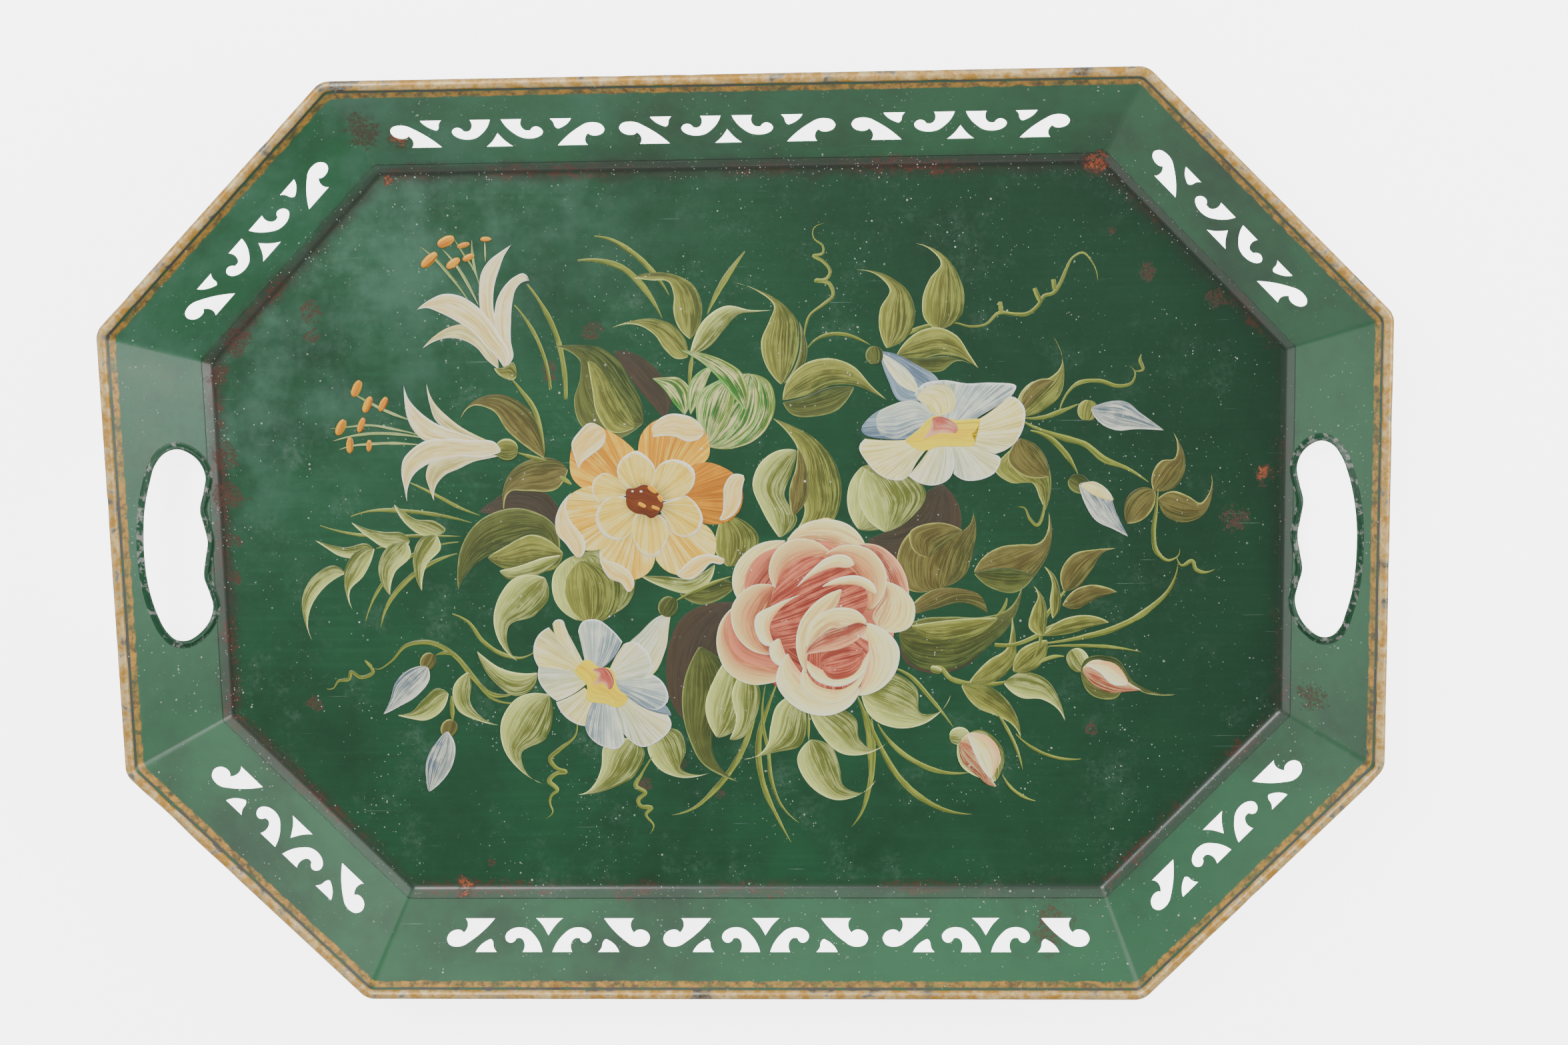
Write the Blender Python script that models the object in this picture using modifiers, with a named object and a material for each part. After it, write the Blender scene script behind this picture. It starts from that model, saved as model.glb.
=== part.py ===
# Octagonal toleware serving tray: one pressed sheet-steel pan with flared, pierced walls and two
# hand holes, and the iron wire that stiffens its rolled rim.
# Metres. The tray lies flat, long side along X, +Z up out of the floor.

import math

import bmesh
import bpy
from mathutils import Matrix, Vector

# Driving dimensions
OVERALL_LENGTH = 0.646
OVERALL_WIDTH = 0.476
OVERALL_HEIGHT = 0.0417
SHEET = 0.0007  # thickness of the tinned sheet
WIRE_RADIUS = 0.0015  # iron wire inside the rolled rim
CURL_CLEARANCE = 0.0003  # between the wire and the sheet rolled round it
RIM_RUN = 0.0458  # horizontal distance from the fold line to the wire's centre
LONG_SIDE_HALF = 0.183  # half the fold line of the two long walls
SHORT_SIDE_HALF = 0.094  # half the fold line of the two end walls
LONG_SIDE_SPREAD = 0.404  # how much those halves grow for each unit of run
SHORT_SIDE_SPREAD = 0.449
FOLD_RADIUS = 0.0055  # inside bend between floor and wall
FOLD_CORNER_RADIUS = 0.0035  # mitre bend between two walls, at the floor
CORNER_GROWTH = 0.045  # how much the mitre bend widens for each unit of run
RIM_CORNER_RADIUS = 0.0073  # bend of the wire at each corner
WIRE_OFFSET = 0.0015  # the wire's centre lies this far outside the wall's middle
CURL_END = math.radians(-190)  # where the rolled edge stops, measured from up the wall

# Pierced gallery, in millimetres on the wall: across from the group's centre, up from the fold
ROW_PITCH = 0.1153
# Walls by number, anticlockwise: 0 is the right-hand end, 2 and 6 the long walls, 4 the left-hand
# end, and the odd ones the corner walls. The groups sit slightly off the middle of each.
LONG_WALL_SHIFTS = {2: -0.0035, 6: -0.0065}
CORNER_WALL_SHIFTS = {1: 0.0, 3: 0.0014, 5: -0.0003, 7: -0.0015}
HAND_HOLE_WALLS = (0, 4)
BAND_LOW, BAND_HIGH = 17.8, 37.1
SHARP, ROUND = "VECTOR", "AUTO"
MIDDLE_TRIANGLE = [
    (-7.5, BAND_LOW, SHARP), (7.5, BAND_LOW, SHARP), (3.2, 22.4, ROUND), (0, 27.7, SHARP),
    (-3.2, 22.4, ROUND),
]
SCROLL = [
    (2.6, BAND_HIGH, SHARP), (13.3, BAND_HIGH, SHARP), (12.3, 33.0, ROUND), (14.6, 29.3, ROUND),
    (16.9, 29.6, SHARP), (19.6, 31.9, ROUND), (22.9, 28.3, ROUND), (20.6, 24.4, ROUND),
    (15.8, 22.9, ROUND), (8.6, 26.3, ROUND),
]
SMALL_TRIANGLE = [
    (26.6, BAND_HIGH, SHARP), (38.1, BAND_HIGH, SHARP), (30.6, 29.6, SHARP), (29.2, 33.0, ROUND),
]
COMMA = [
    (28.9, BAND_LOW, SHARP), (45.2, BAND_LOW, SHARP), (43.4, 21.4, ROUND), (45.3, 26.0, SHARP),
    (49.2, 24.3, ROUND), (53.9, 29.3, ROUND), (48.2, 34.2, ROUND), (42.6, 32.0, ROUND),
]

# Hand hole, as the centre line of the rolled bead round it: the right half, bottom to top
HAND_HOLE_HALF = [
    (0, 7.7), (8.5, 9.3), (17, 10.9), (26, 8.3), (35, 6.3), (47.8, 12.3), (52.3, 24), (45.3, 37.6),
    (25.5, 44.7), (0, 47.5),
]
HAND_HOLE_SHIFT = 0.0011
BEAD_RADIUS = 0.0017
BEAD_LIFT = 0.0009  # the bead's centre stands this far in front of the sheet's middle

BEND_STEPS = 4
CURL_STEPS = 13
CORNER_STEPS = 3
OUTLINE_STEPS = 2  # straight pieces between two points of a round outline
BEAD_STEPS = 3
CUTTER_HALF_DEPTH = 0.004

CURL_RADIUS = WIRE_RADIUS + CURL_CLEARANCE + SHEET / 2  # to the middle of the rolled sheet
RIM_RADIUS = CURL_RADIUS + SHEET / 2
FLOOR_HALF_LENGTH = OVERALL_LENGTH / 2 - RIM_RUN - RIM_RADIUS
FLOOR_HALF_WIDTH = OVERALL_WIDTH / 2 - RIM_RUN - RIM_RADIUS
WIRE_HEIGHT = OVERALL_HEIGHT - RIM_RADIUS
RIM_REACH = math.hypot(RIM_RUN, WIRE_HEIGHT - SHEET / 2)  # fold line to the wire's centre
WALL_ANGLE = (math.atan2(WIRE_HEIGHT - SHEET / 2, RIM_RUN)
              + math.asin(WIRE_OFFSET / RIM_REACH))


def new_collection(name):
    collection = bpy.data.collections.new(name)
    bpy.context.scene.collection.children.link(collection)
    return collection


def new_material(name, colour, roughness, metallic):
    material = bpy.data.materials.new(name)
    material.use_nodes = True
    shader = material.node_tree.nodes["Principled BSDF"]
    shader.inputs["Base Color"].default_value = (*colour, 1)
    shader.inputs["Roughness"].default_value = roughness
    shader.inputs["Metallic"].default_value = metallic
    material.diffuse_color = (*colour, 1)
    return material


def octagon(run):
    """The eight sharp corners at a horizontal distance from the fold line, anticlockwise."""
    length, width = FLOOR_HALF_LENGTH + run, FLOOR_HALF_WIDTH + run
    along = LONG_SIDE_HALF + LONG_SIDE_SPREAD * run
    across = SHORT_SIDE_HALF + SHORT_SIDE_SPREAD * run
    quadrant = [Vector((length, across)), Vector((along, width))]
    corners = quadrant + [Vector((-c.x, c.y)) for c in reversed(quadrant)]
    return corners + [-c for c in corners]


def corner_radius(run):
    return max(FOLD_CORNER_RADIUS + CORNER_GROWTH * run, RIM_CORNER_RADIUS + run - RIM_RUN)


def ring(run, height):
    """The octagon with its corners rounded, as points at one height."""
    corners = octagon(run)
    radius = corner_radius(run)
    points = []
    for i, corner in enumerate(corners):
        to_last = (corners[i - 1] - corner).normalized()
        to_next = (corners[(i + 1) % 8] - corner).normalized()
        half_angle = to_last.angle(to_next) / 2
        centre = corner + (to_last + to_next).normalized() * radius / math.sin(half_angle)
        start = Vector((-to_last.y, to_last.x))
        turn = math.pi - 2 * half_angle
        for step in range(CORNER_STEPS + 1):
            spoke = Matrix.Rotation(turn * step / CORNER_STEPS, 2) @ start
            points.append(Vector((*(centre + spoke * radius), height)))
    return points


def wall_section():
    """Run and height of the sheet's middle, from the floor up the wall and round the wire."""
    bend = FOLD_RADIUS + SHEET / 2
    start = -bend * math.tan(WALL_ANGLE / 2)
    section = []
    for step in range(BEND_STEPS + 1):
        angle = WALL_ANGLE * step / BEND_STEPS
        section.append((start + bend * math.sin(angle), SHEET / 2 + bend * (1 - math.cos(angle))))
    first = math.pi - math.asin(WIRE_OFFSET / CURL_RADIUS)
    for step in range(CURL_STEPS + 1):
        angle = first + (CURL_END - first) * step / CURL_STEPS + WALL_ANGLE
        section.append((RIM_RUN + CURL_RADIUS * math.cos(angle),
                        WIRE_HEIGHT + CURL_RADIUS * math.sin(angle)))
    return section


def link_mesh(name, mesh, collection):
    obj = bpy.data.objects.new(name, mesh)
    collection.objects.link(obj)
    return obj


def make_helper(obj):
    obj.hide_render = True
    obj.display_type = "WIRE"
    return obj


def mesh_from_curve(curve_obj, name, collection):
    """The curve's evaluated shape as a welded mesh object in the same place."""
    graph = bpy.context.evaluated_depsgraph_get()
    mesh = bpy.data.meshes.new_from_object(curve_obj.evaluated_get(graph))
    bm = bmesh.new()
    bm.from_mesh(mesh)
    bmesh.ops.remove_doubles(bm, verts=bm.verts, dist=1e-6)
    bmesh.ops.recalc_face_normals(bm, faces=bm.faces)
    bm.to_mesh(mesh)
    bm.free()
    obj = link_mesh(name, mesh, collection)
    obj.matrix_world = curve_obj.matrix_world.copy()
    bpy.data.objects.remove(curve_obj)
    return obj


def add_outline(curve, points):
    """A closed Bezier outline from points in millimetres, each with its kind of handle."""
    spline = curve.splines.new("BEZIER")
    spline.bezier_points.add(len(points) - 1)
    spline.use_cyclic_u = True
    for point, (across, up, kind) in zip(spline.bezier_points, points):
        point.co = (across / 1000, up / 1000, 0)
        point.handle_left_type = point.handle_right_type = kind


def wall_matrix(side):
    """Frame on a wall: X along it, Y up its slope, Z out of its inner face, origin mid-fold."""
    corners = octagon(0)
    first, second = corners[side - 1], corners[side]
    middle = (first + second) / 2
    along = (first - second).normalized()
    outward = Vector((-along.y, along.x))
    up = Vector((*(outward * math.cos(WALL_ANGLE)), math.sin(WALL_ANGLE)))
    out = Vector((*(outward * -math.sin(WALL_ANGLE)), math.cos(WALL_ANGLE)))
    frame = Matrix((along.to_3d(), up, out)).transposed().to_4x4()
    frame.translation = (*middle, SHEET / 2)
    return frame


def make_group_cutter(name, side, shift, collection):
    """The seven punches of one pierced group, standing through a wall."""
    curve = bpy.data.curves.new(name, "CURVE")
    curve.dimensions = "2D"
    curve.fill_mode = "BOTH"
    curve.extrude = CUTTER_HALF_DEPTH
    curve.resolution_u = OUTLINE_STEPS
    add_outline(curve, MIDDLE_TRIANGLE)
    for shape in (SCROLL, SMALL_TRIANGLE, COMMA):
        for hand in (1, -1):
            add_outline(curve, [(hand * across, up, kind) for across, up, kind in shape])
    obj = link_mesh(name + "_outline", curve, collection)
    obj.matrix_world = wall_matrix(side) @ Matrix.Translation((shift, 0, 0))
    return make_helper(mesh_from_curve(obj, name, collection))


def hand_hole_points():
    right = [(across, up, ROUND) for across, up in HAND_HOLE_HALF]
    left = [(-across, up, ROUND) for across, up in reversed(HAND_HOLE_HALF[1:-1])]
    return right + left


def make_hand_hole_cutter(name, side, collection):
    curve = bpy.data.curves.new(name, "CURVE")
    curve.dimensions = "2D"
    curve.fill_mode = "BOTH"
    curve.extrude = CUTTER_HALF_DEPTH
    curve.resolution_u = BEAD_STEPS
    add_outline(curve, hand_hole_points())
    obj = link_mesh(name + "_outline", curve, collection)
    obj.matrix_world = wall_matrix(side) @ Matrix.Translation((HAND_HOLE_SHIFT, 0, 0))
    return make_helper(mesh_from_curve(obj, name, collection))


def make_hand_hole_bead(name, side, collection):
    """The rolled edge of a hand hole, as a round bead along the hole's outline."""
    curve = bpy.data.curves.new(name, "CURVE")
    curve.dimensions = "3D"
    curve.bevel_depth = BEAD_RADIUS
    curve.bevel_resolution = 2
    curve.resolution_u = BEAD_STEPS
    add_outline(curve, hand_hole_points())
    obj = link_mesh(name + "_outline", curve, collection)
    obj.matrix_world = wall_matrix(side) @ Matrix.Translation((HAND_HOLE_SHIFT, 0, BEAD_LIFT))
    return make_helper(mesh_from_curve(obj, name, collection))


def make_pan(collection, cutters, beads, enamel):
    """A loft of rounded octagons whose corner radius grows, thickened, pierced and beaded."""
    bm = bmesh.new()
    rings = [[bm.verts.new(point) for point in ring(run, height)] for run, height in wall_section()]
    bm.faces.new(rings[0])
    for lower, upper in zip(rings, rings[1:]):
        for i in range(len(lower)):
            j = (i + 1) % len(lower)
            bm.faces.new((lower[i], lower[j], upper[j], upper[i]))
    bmesh.ops.recalc_face_normals(bm, faces=bm.faces)
    mesh = bpy.data.meshes.new("tray_pan")
    bm.to_mesh(mesh)
    bm.free()
    pan = link_mesh("tray_pan", mesh, collection)
    mesh.materials.append(enamel)
    wall = pan.modifiers.new("sheet", "SOLIDIFY")
    wall.thickness = SHEET
    wall.offset = 0
    wall.use_even_offset = True
    pierce = pan.modifiers.new("pierce", "BOOLEAN")
    pierce.operation = "DIFFERENCE"
    pierce.operand_type = "COLLECTION"
    pierce.collection = cutters
    join = pan.modifiers.new("bead", "BOOLEAN")
    join.operation = "UNION"
    join.operand_type = "COLLECTION"
    join.collection = beads
    mesh.shade_smooth()
    mesh.set_sharp_from_angle(angle=math.radians(35))
    return pan


def make_rim_wire(collection, iron):
    curve = bpy.data.curves.new("rim_wire", "CURVE")
    curve.dimensions = "3D"
    curve.bevel_depth = WIRE_RADIUS
    curve.bevel_resolution = 2
    path = ring(RIM_RUN, WIRE_HEIGHT)
    spline = curve.splines.new("POLY")
    spline.points.add(len(path) - 1)
    spline.use_cyclic_u = True
    for point, place in zip(spline.points, path):
        point.co = (*place, 1)
    wire = link_mesh("rim_wire", curve, collection)
    curve.materials.append(iron)
    return wire


def main():
    for obj in list(bpy.data.objects):
        bpy.data.objects.remove(obj)
    tray = new_collection("toleware_tray")
    cutters = new_collection("cutters")
    beads = new_collection("beads")
    for side, shift in LONG_WALL_SHIFTS.items():
        for place in (-1, 0, 1):
            make_group_cutter(f"group_{side}_{place + 2}", side, shift + place * ROW_PITCH, cutters)
    for side, shift in CORNER_WALL_SHIFTS.items():
        make_group_cutter(f"group_{side}", side, shift, cutters)
    for side in HAND_HOLE_WALLS:
        make_hand_hole_cutter(f"hand_hole_{side}", side, cutters)
        make_hand_hole_bead(f"hand_hole_bead_{side}", side, beads)
    make_pan(tray, cutters, beads, new_material("green_enamel", (0.03, 0.13, 0.07), 0.35, 0.0))
    make_rim_wire(tray, new_material("iron_wire", (0.35, 0.34, 0.33), 0.45, 1.0))


main()
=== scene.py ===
import math

import bmesh
import bpy
import numpy as np
from mathutils import Matrix, Vector


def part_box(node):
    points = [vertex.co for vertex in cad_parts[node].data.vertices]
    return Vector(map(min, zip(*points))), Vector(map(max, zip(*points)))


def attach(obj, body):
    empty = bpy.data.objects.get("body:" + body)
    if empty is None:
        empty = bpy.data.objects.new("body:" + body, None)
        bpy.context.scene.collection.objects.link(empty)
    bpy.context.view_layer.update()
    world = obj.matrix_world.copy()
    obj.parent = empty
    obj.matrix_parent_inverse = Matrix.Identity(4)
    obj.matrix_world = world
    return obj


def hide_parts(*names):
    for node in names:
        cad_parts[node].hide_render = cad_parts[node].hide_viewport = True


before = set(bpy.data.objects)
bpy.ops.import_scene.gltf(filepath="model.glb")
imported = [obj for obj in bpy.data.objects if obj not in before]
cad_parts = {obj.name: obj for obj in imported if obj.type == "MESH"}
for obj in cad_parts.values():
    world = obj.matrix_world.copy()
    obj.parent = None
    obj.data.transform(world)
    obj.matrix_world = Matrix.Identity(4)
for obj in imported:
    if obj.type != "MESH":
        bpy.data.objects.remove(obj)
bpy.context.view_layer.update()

# Everything below is in millimetres until a mesh is made; the tray lies flat with +Z up.
halfLength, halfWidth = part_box("tray_pan")[1][0] * 1000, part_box("tray_pan")[1][1] * 1000
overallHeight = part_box("tray_pan")[1][2] * 1000

pan = dict(
    sheet=0.7,
    rimRun=45.8,  # fold line to the middle of the rolled rim
    rimRadius=2.5,
    foldRadius=5.5,
    longHalf=183.0, longSpread=0.404,  # half of a long wall's fold line, and its growth per mm of run
    shortHalf=94.0, shortSpread=0.449,
    cornerRadius=3.5, cornerGrowth=0.055,
    wireOffset=1.5,
)
foldLength = halfLength - pan["rimRun"] - pan["rimRadius"]
foldWidth = halfWidth - pan["rimRun"] - pan["rimRadius"]
wireHeight = overallHeight - pan["rimRadius"]
rimReach = math.hypot(pan["rimRun"], wireHeight - pan["sheet"] / 2)
wallAngle = (math.atan2(wireHeight - pan["sheet"] / 2, pan["rimRun"])
             + math.asin(pan["wireOffset"] / rimReach))


def srgb(code):
    # Linear colour from a hex code: the usual screen curve undone.
    value = np.array([int(code[i:i + 2], 16) for i in (1, 3, 5)]) / 255
    return np.where(value <= 0.04045, value / 12.92, ((value + 0.055) / 1.055) ** 2.4)


def smooth(low, high, value):
    # 0 below low, 1 above high, an S curve between.
    t = np.clip((value - low) / (high - low), 0, 1)
    return t * t * (3 - 2 * t)


def through(points, count, closed=False):
    # A smooth curve through points: cubic pieces whose slopes are the finite differences over
    # chord length, read at count places evenly spaced along the chords.
    p = np.asarray(points, float)
    if closed:
        p = np.vstack([p[-3:], p, p[:3]])
    t = np.concatenate([[0], np.cumsum(np.linalg.norm(np.diff(p, axis=0), axis=1))])
    slope = np.gradient(p, t, axis=0, edge_order=2 if len(p) > 2 else 1)
    first, last = (t[3], t[-3]) if closed else (t[0], t[-1])
    s = np.linspace(first, last, count, endpoint=not closed)
    k = np.clip(np.searchsorted(t, s, side="right") - 1, 0, len(p) - 2)
    h = (t[k + 1] - t[k])[:, None]
    q = (s - t[k])[:, None] / h
    return ((1 + 2 * q) * (1 - q) ** 2 * p[k] + q * (1 - q) ** 2 * h * slope[k]
            + q * q * (3 - 2 * q) * p[k + 1] - q * q * (1 - q) * h * slope[k + 1])


def waves(x, y, scale, seed):
    # Soft seeded unevenness from -1 to 1: eight sine waves in random directions, averaged.
    random = np.random.default_rng(seed)
    turn = random.uniform(0, 2 * np.pi, 8)
    size = random.uniform(0.6, 1.6, 8) / scale
    start = random.uniform(0, 2 * np.pi, 8)
    angle = (x[..., None] * np.cos(turn) + y[..., None] * np.sin(turn)) * size * 2 * np.pi + start
    return np.sin(angle).mean(axis=-1) * 2


def gridFaces(rows, columns, wrapRows=False, wrapColumns=False):
    # Quads of a rows x columns grid, joined to the start where a direction wraps.
    i, j = np.meshgrid(np.arange(rows if wrapRows else rows - 1),
                       np.arange(columns if wrapColumns else columns - 1), indexing="ij")
    nextI, nextJ = (i + 1) % rows, (j + 1) % columns
    corners = [i * columns + j, nextI * columns + j, nextI * columns + nextJ, i * columns + nextJ]
    return np.stack(corners, axis=-1).reshape(-1, 4)


def meshObject(name, points, faces, material, attributes=None, body="root"):
    # One object at the origin from points in millimetres and quads, shaded smooth.
    mesh = bpy.data.meshes.new(name)
    mesh.from_pydata((np.asarray(points) / 1000).tolist(), [], faces.tolist() if hasattr(faces, "tolist") else faces)
    for key, values in (attributes or {}).items():
        values = np.asarray(values, np.float32)
        kind = {3: "FLOAT_VECTOR", 4: "FLOAT_COLOR"}[values.shape[1]]
        layer = mesh.attributes.new(key, kind, "POINT")
        layer.data.foreach_set("color" if kind == "FLOAT_COLOR" else "vector", values.ravel())
    mesh.shade_smooth()
    mesh.materials.append(material)
    obj = bpy.data.objects.new(name, mesh)
    bpy.context.scene.collection.objects.link(obj)
    if body:
        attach(obj, body)
    return obj


class Signal:
    # A socket that adds Math nodes when it is used in an expression.

    def __init__(self, paint, socket):
        self.paint, self.socket = paint, socket

    def maths(self, operation, *values):
        return self.paint.node("ShaderNodeMath", {"operation": operation}, dict(enumerate(values)))

    def __add__(self, other):
        return self.maths("ADD", self, other)

    def __sub__(self, other):
        return self.maths("SUBTRACT", self, other)

    def __rsub__(self, other):
        return self.maths("SUBTRACT", other, self)

    def __mul__(self, other):
        return self.maths("MULTIPLY", self, other)

    def __truediv__(self, other):
        return self.maths("DIVIDE", self, other)

    def __pow__(self, other):
        return self.maths("POWER", self, other)

    def over(self, other):
        return self.maths("MAXIMUM", self, other)

    def size(self):
        return self.maths("ABSOLUTE", self)

    def under(self, other):
        return self.maths("MINIMUM", self, other)

    __radd__, __rmul__ = __add__, __mul__


class Paint:
    # A material under construction, with short names for the nodes used here.

    def __init__(self, name, roughness=0.4, metallic=0.0, coat=0.0, coatRoughness=0.1):
        self.material = bpy.data.materials.new(name)
        self.material.use_nodes = True
        self.tree = self.material.node_tree
        self.shader = self.tree.nodes["Principled BSDF"]
        self.shader.inputs["Roughness"].default_value = roughness
        self.shader.inputs["Metallic"].default_value = metallic
        self.shader.inputs["Coat Weight"].default_value = coat
        self.shader.inputs["Coat Roughness"].default_value = coatRoughness
        self.place = self.node("ShaderNodeVectorMath", {"operation": "SCALE"},
                               {0: self.node("ShaderNodeTexCoord", {}, {}, "Object"), "Scale": 1000.0})
        parts = self.tree.nodes.new("ShaderNodeSeparateXYZ")
        self.tree.links.new(self.place.socket, parts.inputs[0])
        self.x, self.y, self.z = (Signal(self, parts.outputs[i]) for i in range(3))

    def node(self, kind, settings, inputs, output=0):
        made = self.tree.nodes.new(kind)
        for key, value in settings.items():
            setattr(made, key, value)
        for key, value in inputs.items():
            if isinstance(value, Signal):
                self.tree.links.new(value.socket, made.inputs[key])
            else:
                made.inputs[key].default_value = value
        return Signal(self, made.outputs[output])

    def noise(self, size, detail=3.0, rough=0.5, vector=None, distortion=0.0):
        # Cloudy noise whose lumps are about size millimetres across.
        return self.node("ShaderNodeTexNoise", {}, {
            "Vector": vector or self.place, "Scale": 1.0 / size, "Detail": detail, "Roughness": rough,
            "Distortion": distortion})

    def stretched(self, vector, scales, shift=(0, 0, 0)):
        scaled = self.node("ShaderNodeVectorMath", {"operation": "MULTIPLY"}, {0: vector, 1: scales})
        return self.node("ShaderNodeVectorMath", {"operation": "ADD"}, {0: scaled, 1: shift})

    def step(self, value, low, high):
        # 0 at low and 1 at high with an S curve between; low may be the larger.
        return self.node("ShaderNodeMapRange", {"interpolation_type": "SMOOTHSTEP"}, {
            "Value": value, "From Min": low, "From Max": high, "To Min": 0.0, "To Max": 1.0})

    def mix(self, first, second, factor, blend="MIX"):
        first, second = (value if isinstance(value, Signal) else (*value, 1) for value in (first, second))
        return self.node("ShaderNodeMix", {"data_type": "RGBA", "blend_type": blend},
                         {0: factor, 6: first, 7: second}, 2)

    def dots(self, size, share, seed=0.0):
        # Round specks in cells of this size, in about this share of the cells.
        moved = self.stretched(self.place, (1, 1, 1), (seed, seed * 0.7, seed * 0.3))
        cells = self.tree.nodes.new("ShaderNodeTexVoronoi")
        cells.inputs["Scale"].default_value = 1.0 / size
        self.tree.links.new(moved.socket, cells.inputs["Vector"])
        distance, colour = Signal(self, cells.outputs["Distance"]), Signal(self, cells.outputs["Color"])
        parts = self.tree.nodes.new("ShaderNodeSeparateColor")
        self.tree.links.new(colour.socket, parts.inputs[0])
        pick, radius = Signal(self, parts.outputs[0]), Signal(self, parts.outputs[1])
        return self.step(pick, 1 - share, 1 - share + 0.01) * self.step(distance, radius * 0.3 + 0.06,
                                                                        radius * 0.2 + 0.02)

    def finish(self, colour, roughness=None, height=None, depth=0.1, metallic=None, coat=None):
        # Links the results; height is in millimetres when depth is 1.
        links = {"Base Color": colour, "Roughness": roughness, "Metallic": metallic, "Coat Weight": coat}
        for key, value in links.items():
            if value is not None:
                self.tree.links.new(value.socket, self.shader.inputs[key])
        if height is not None:
            bump = self.node("ShaderNodeBump", {}, {"Height": height, "Strength": 1.0,
                                                    "Distance": depth / 1000})
            self.tree.links.new(bump.socket, self.shader.inputs["Normal"])
        return self.material


stage = dict(
    eye=(105.7, 281.9, 1412.3), sight=(-0.0599, -0.1907, -0.9798), upward=(0.0090, 0.9814, -0.1916),
    lens=64.0,
    # name, direction it stands in (turn from +X, height), distance m, width m, height m, watts
    lamps=[
        ("right_window", 8, 26, 2.2, 1.2, 0.75, 33),
        ("left_window", 188, 14, 2.4, 1.6, 0.45, 9),
        ("front_fill", 272, 8, 2.6, 2.2, 0.35, 5),
        ("left_front", 233, 9, 2.6, 1.4, 0.4, 4.5),
        ("back_window", 98, 27, 2.6, 3.2, 0.6, 11),
        ("corner_glint", 43, 30, 2.2, 0.9, 0.5, 5),
        ("overhead", 128, 52, 2.6, 1.2, 0.8, 62),
    ],
)


def makeCamera():
    data = bpy.data.cameras.new("camera")
    data.lens = stage["lens"]
    data.sensor_width = 36
    data.clip_start = 0.05
    camera = bpy.data.objects.new("camera", data)
    back = -Vector(stage["sight"]).normalized()
    right = Vector(stage["upward"]).cross(back).normalized()
    turn = Matrix((right, back.cross(right), back)).transposed().to_4x4()
    camera.matrix_world = Matrix.Translation(Vector(stage["eye"]) / 1000) @ turn
    bpy.context.scene.collection.objects.link(camera)
    bpy.context.scene.camera = camera


def makeLamps():
    for name, turn, height, distance, wide, tall, watts in stage["lamps"]:
        data = bpy.data.lights.new(name, "AREA")
        data.shape = "RECTANGLE"
        data.size, data.size_y, data.energy = wide, tall, watts
        lamp = bpy.data.objects.new(name, data)
        turn, height = math.radians(turn), math.radians(height)
        lamp.location = Vector((math.cos(turn) * math.cos(height), math.sin(turn) * math.cos(height),
                                math.sin(height))) * distance
        lamp.rotation_euler = lamp.location.to_track_quat("Z", "Y").to_euler()
        bpy.context.scene.collection.objects.link(lamp)
    world = bpy.data.worlds.new("studio")
    world.use_nodes = True
    bpy.context.scene.world = world
    tree = world.node_tree
    ramp = tree.nodes.new("ShaderNodeValToRGB")  # bright near the horizon, dim overhead
    ramp.color_ramp.elements[0].position, ramp.color_ramp.elements[0].color = 0.0, (0.95, 0.96, 0.97, 1)
    ramp.color_ramp.elements[1].position, ramp.color_ramp.elements[1].color = 0.9, (0.38, 0.39, 0.40, 1)
    split = tree.nodes.new("ShaderNodeSeparateXYZ")
    tree.links.new(tree.nodes.new("ShaderNodeTexCoord").outputs["Generated"], split.inputs[0])
    tree.links.new(split.outputs["Z"], ramp.inputs[0])
    tree.links.new(ramp.outputs[0], tree.nodes["Background"].inputs["Color"])
    tree.nodes["Background"].inputs["Strength"].default_value = 0.72


def makeStage():
    paint = Paint("pale_floor", roughness=0.9)
    paint.shader.inputs["Base Color"].default_value = (0.86, 0.865, 0.87, 1)
    paint.shader.inputs["Emission Color"].default_value = (1, 1, 1, 1)
    paint.shader.inputs["Emission Strength"].default_value = 4.5
    size = 30000
    floor = meshObject("stage_floor", [(-size, -size, -0.3), (size, -size, -0.3), (size, size, -0.3),
                                       (-size, size, -0.3)], [(0, 1, 2, 3)], paint.material, body=None)
    floor.visible_diffuse = floor.visible_glossy = False  # seen, but it neither lights nor shows in the tray


makeCamera()
makeLamps()
makeStage()
print("camera, light and floor made")


def octagon(run):
    # Sharp corners of the octagon at each run, anticlockwise from the right: shape (runs, 8, 2).
    length, width = foldLength + run, foldWidth + run
    along = pan["longHalf"] + pan["longSpread"] * run
    across = pan["shortHalf"] + pan["shortSpread"] * run
    x = np.stack([length, along, -along, -length, -length, -along, along, length], axis=-1)
    y = np.stack([across, width, width, across, -across, -width, -width, -across], axis=-1)
    return np.stack([x, y], axis=-1)


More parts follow.
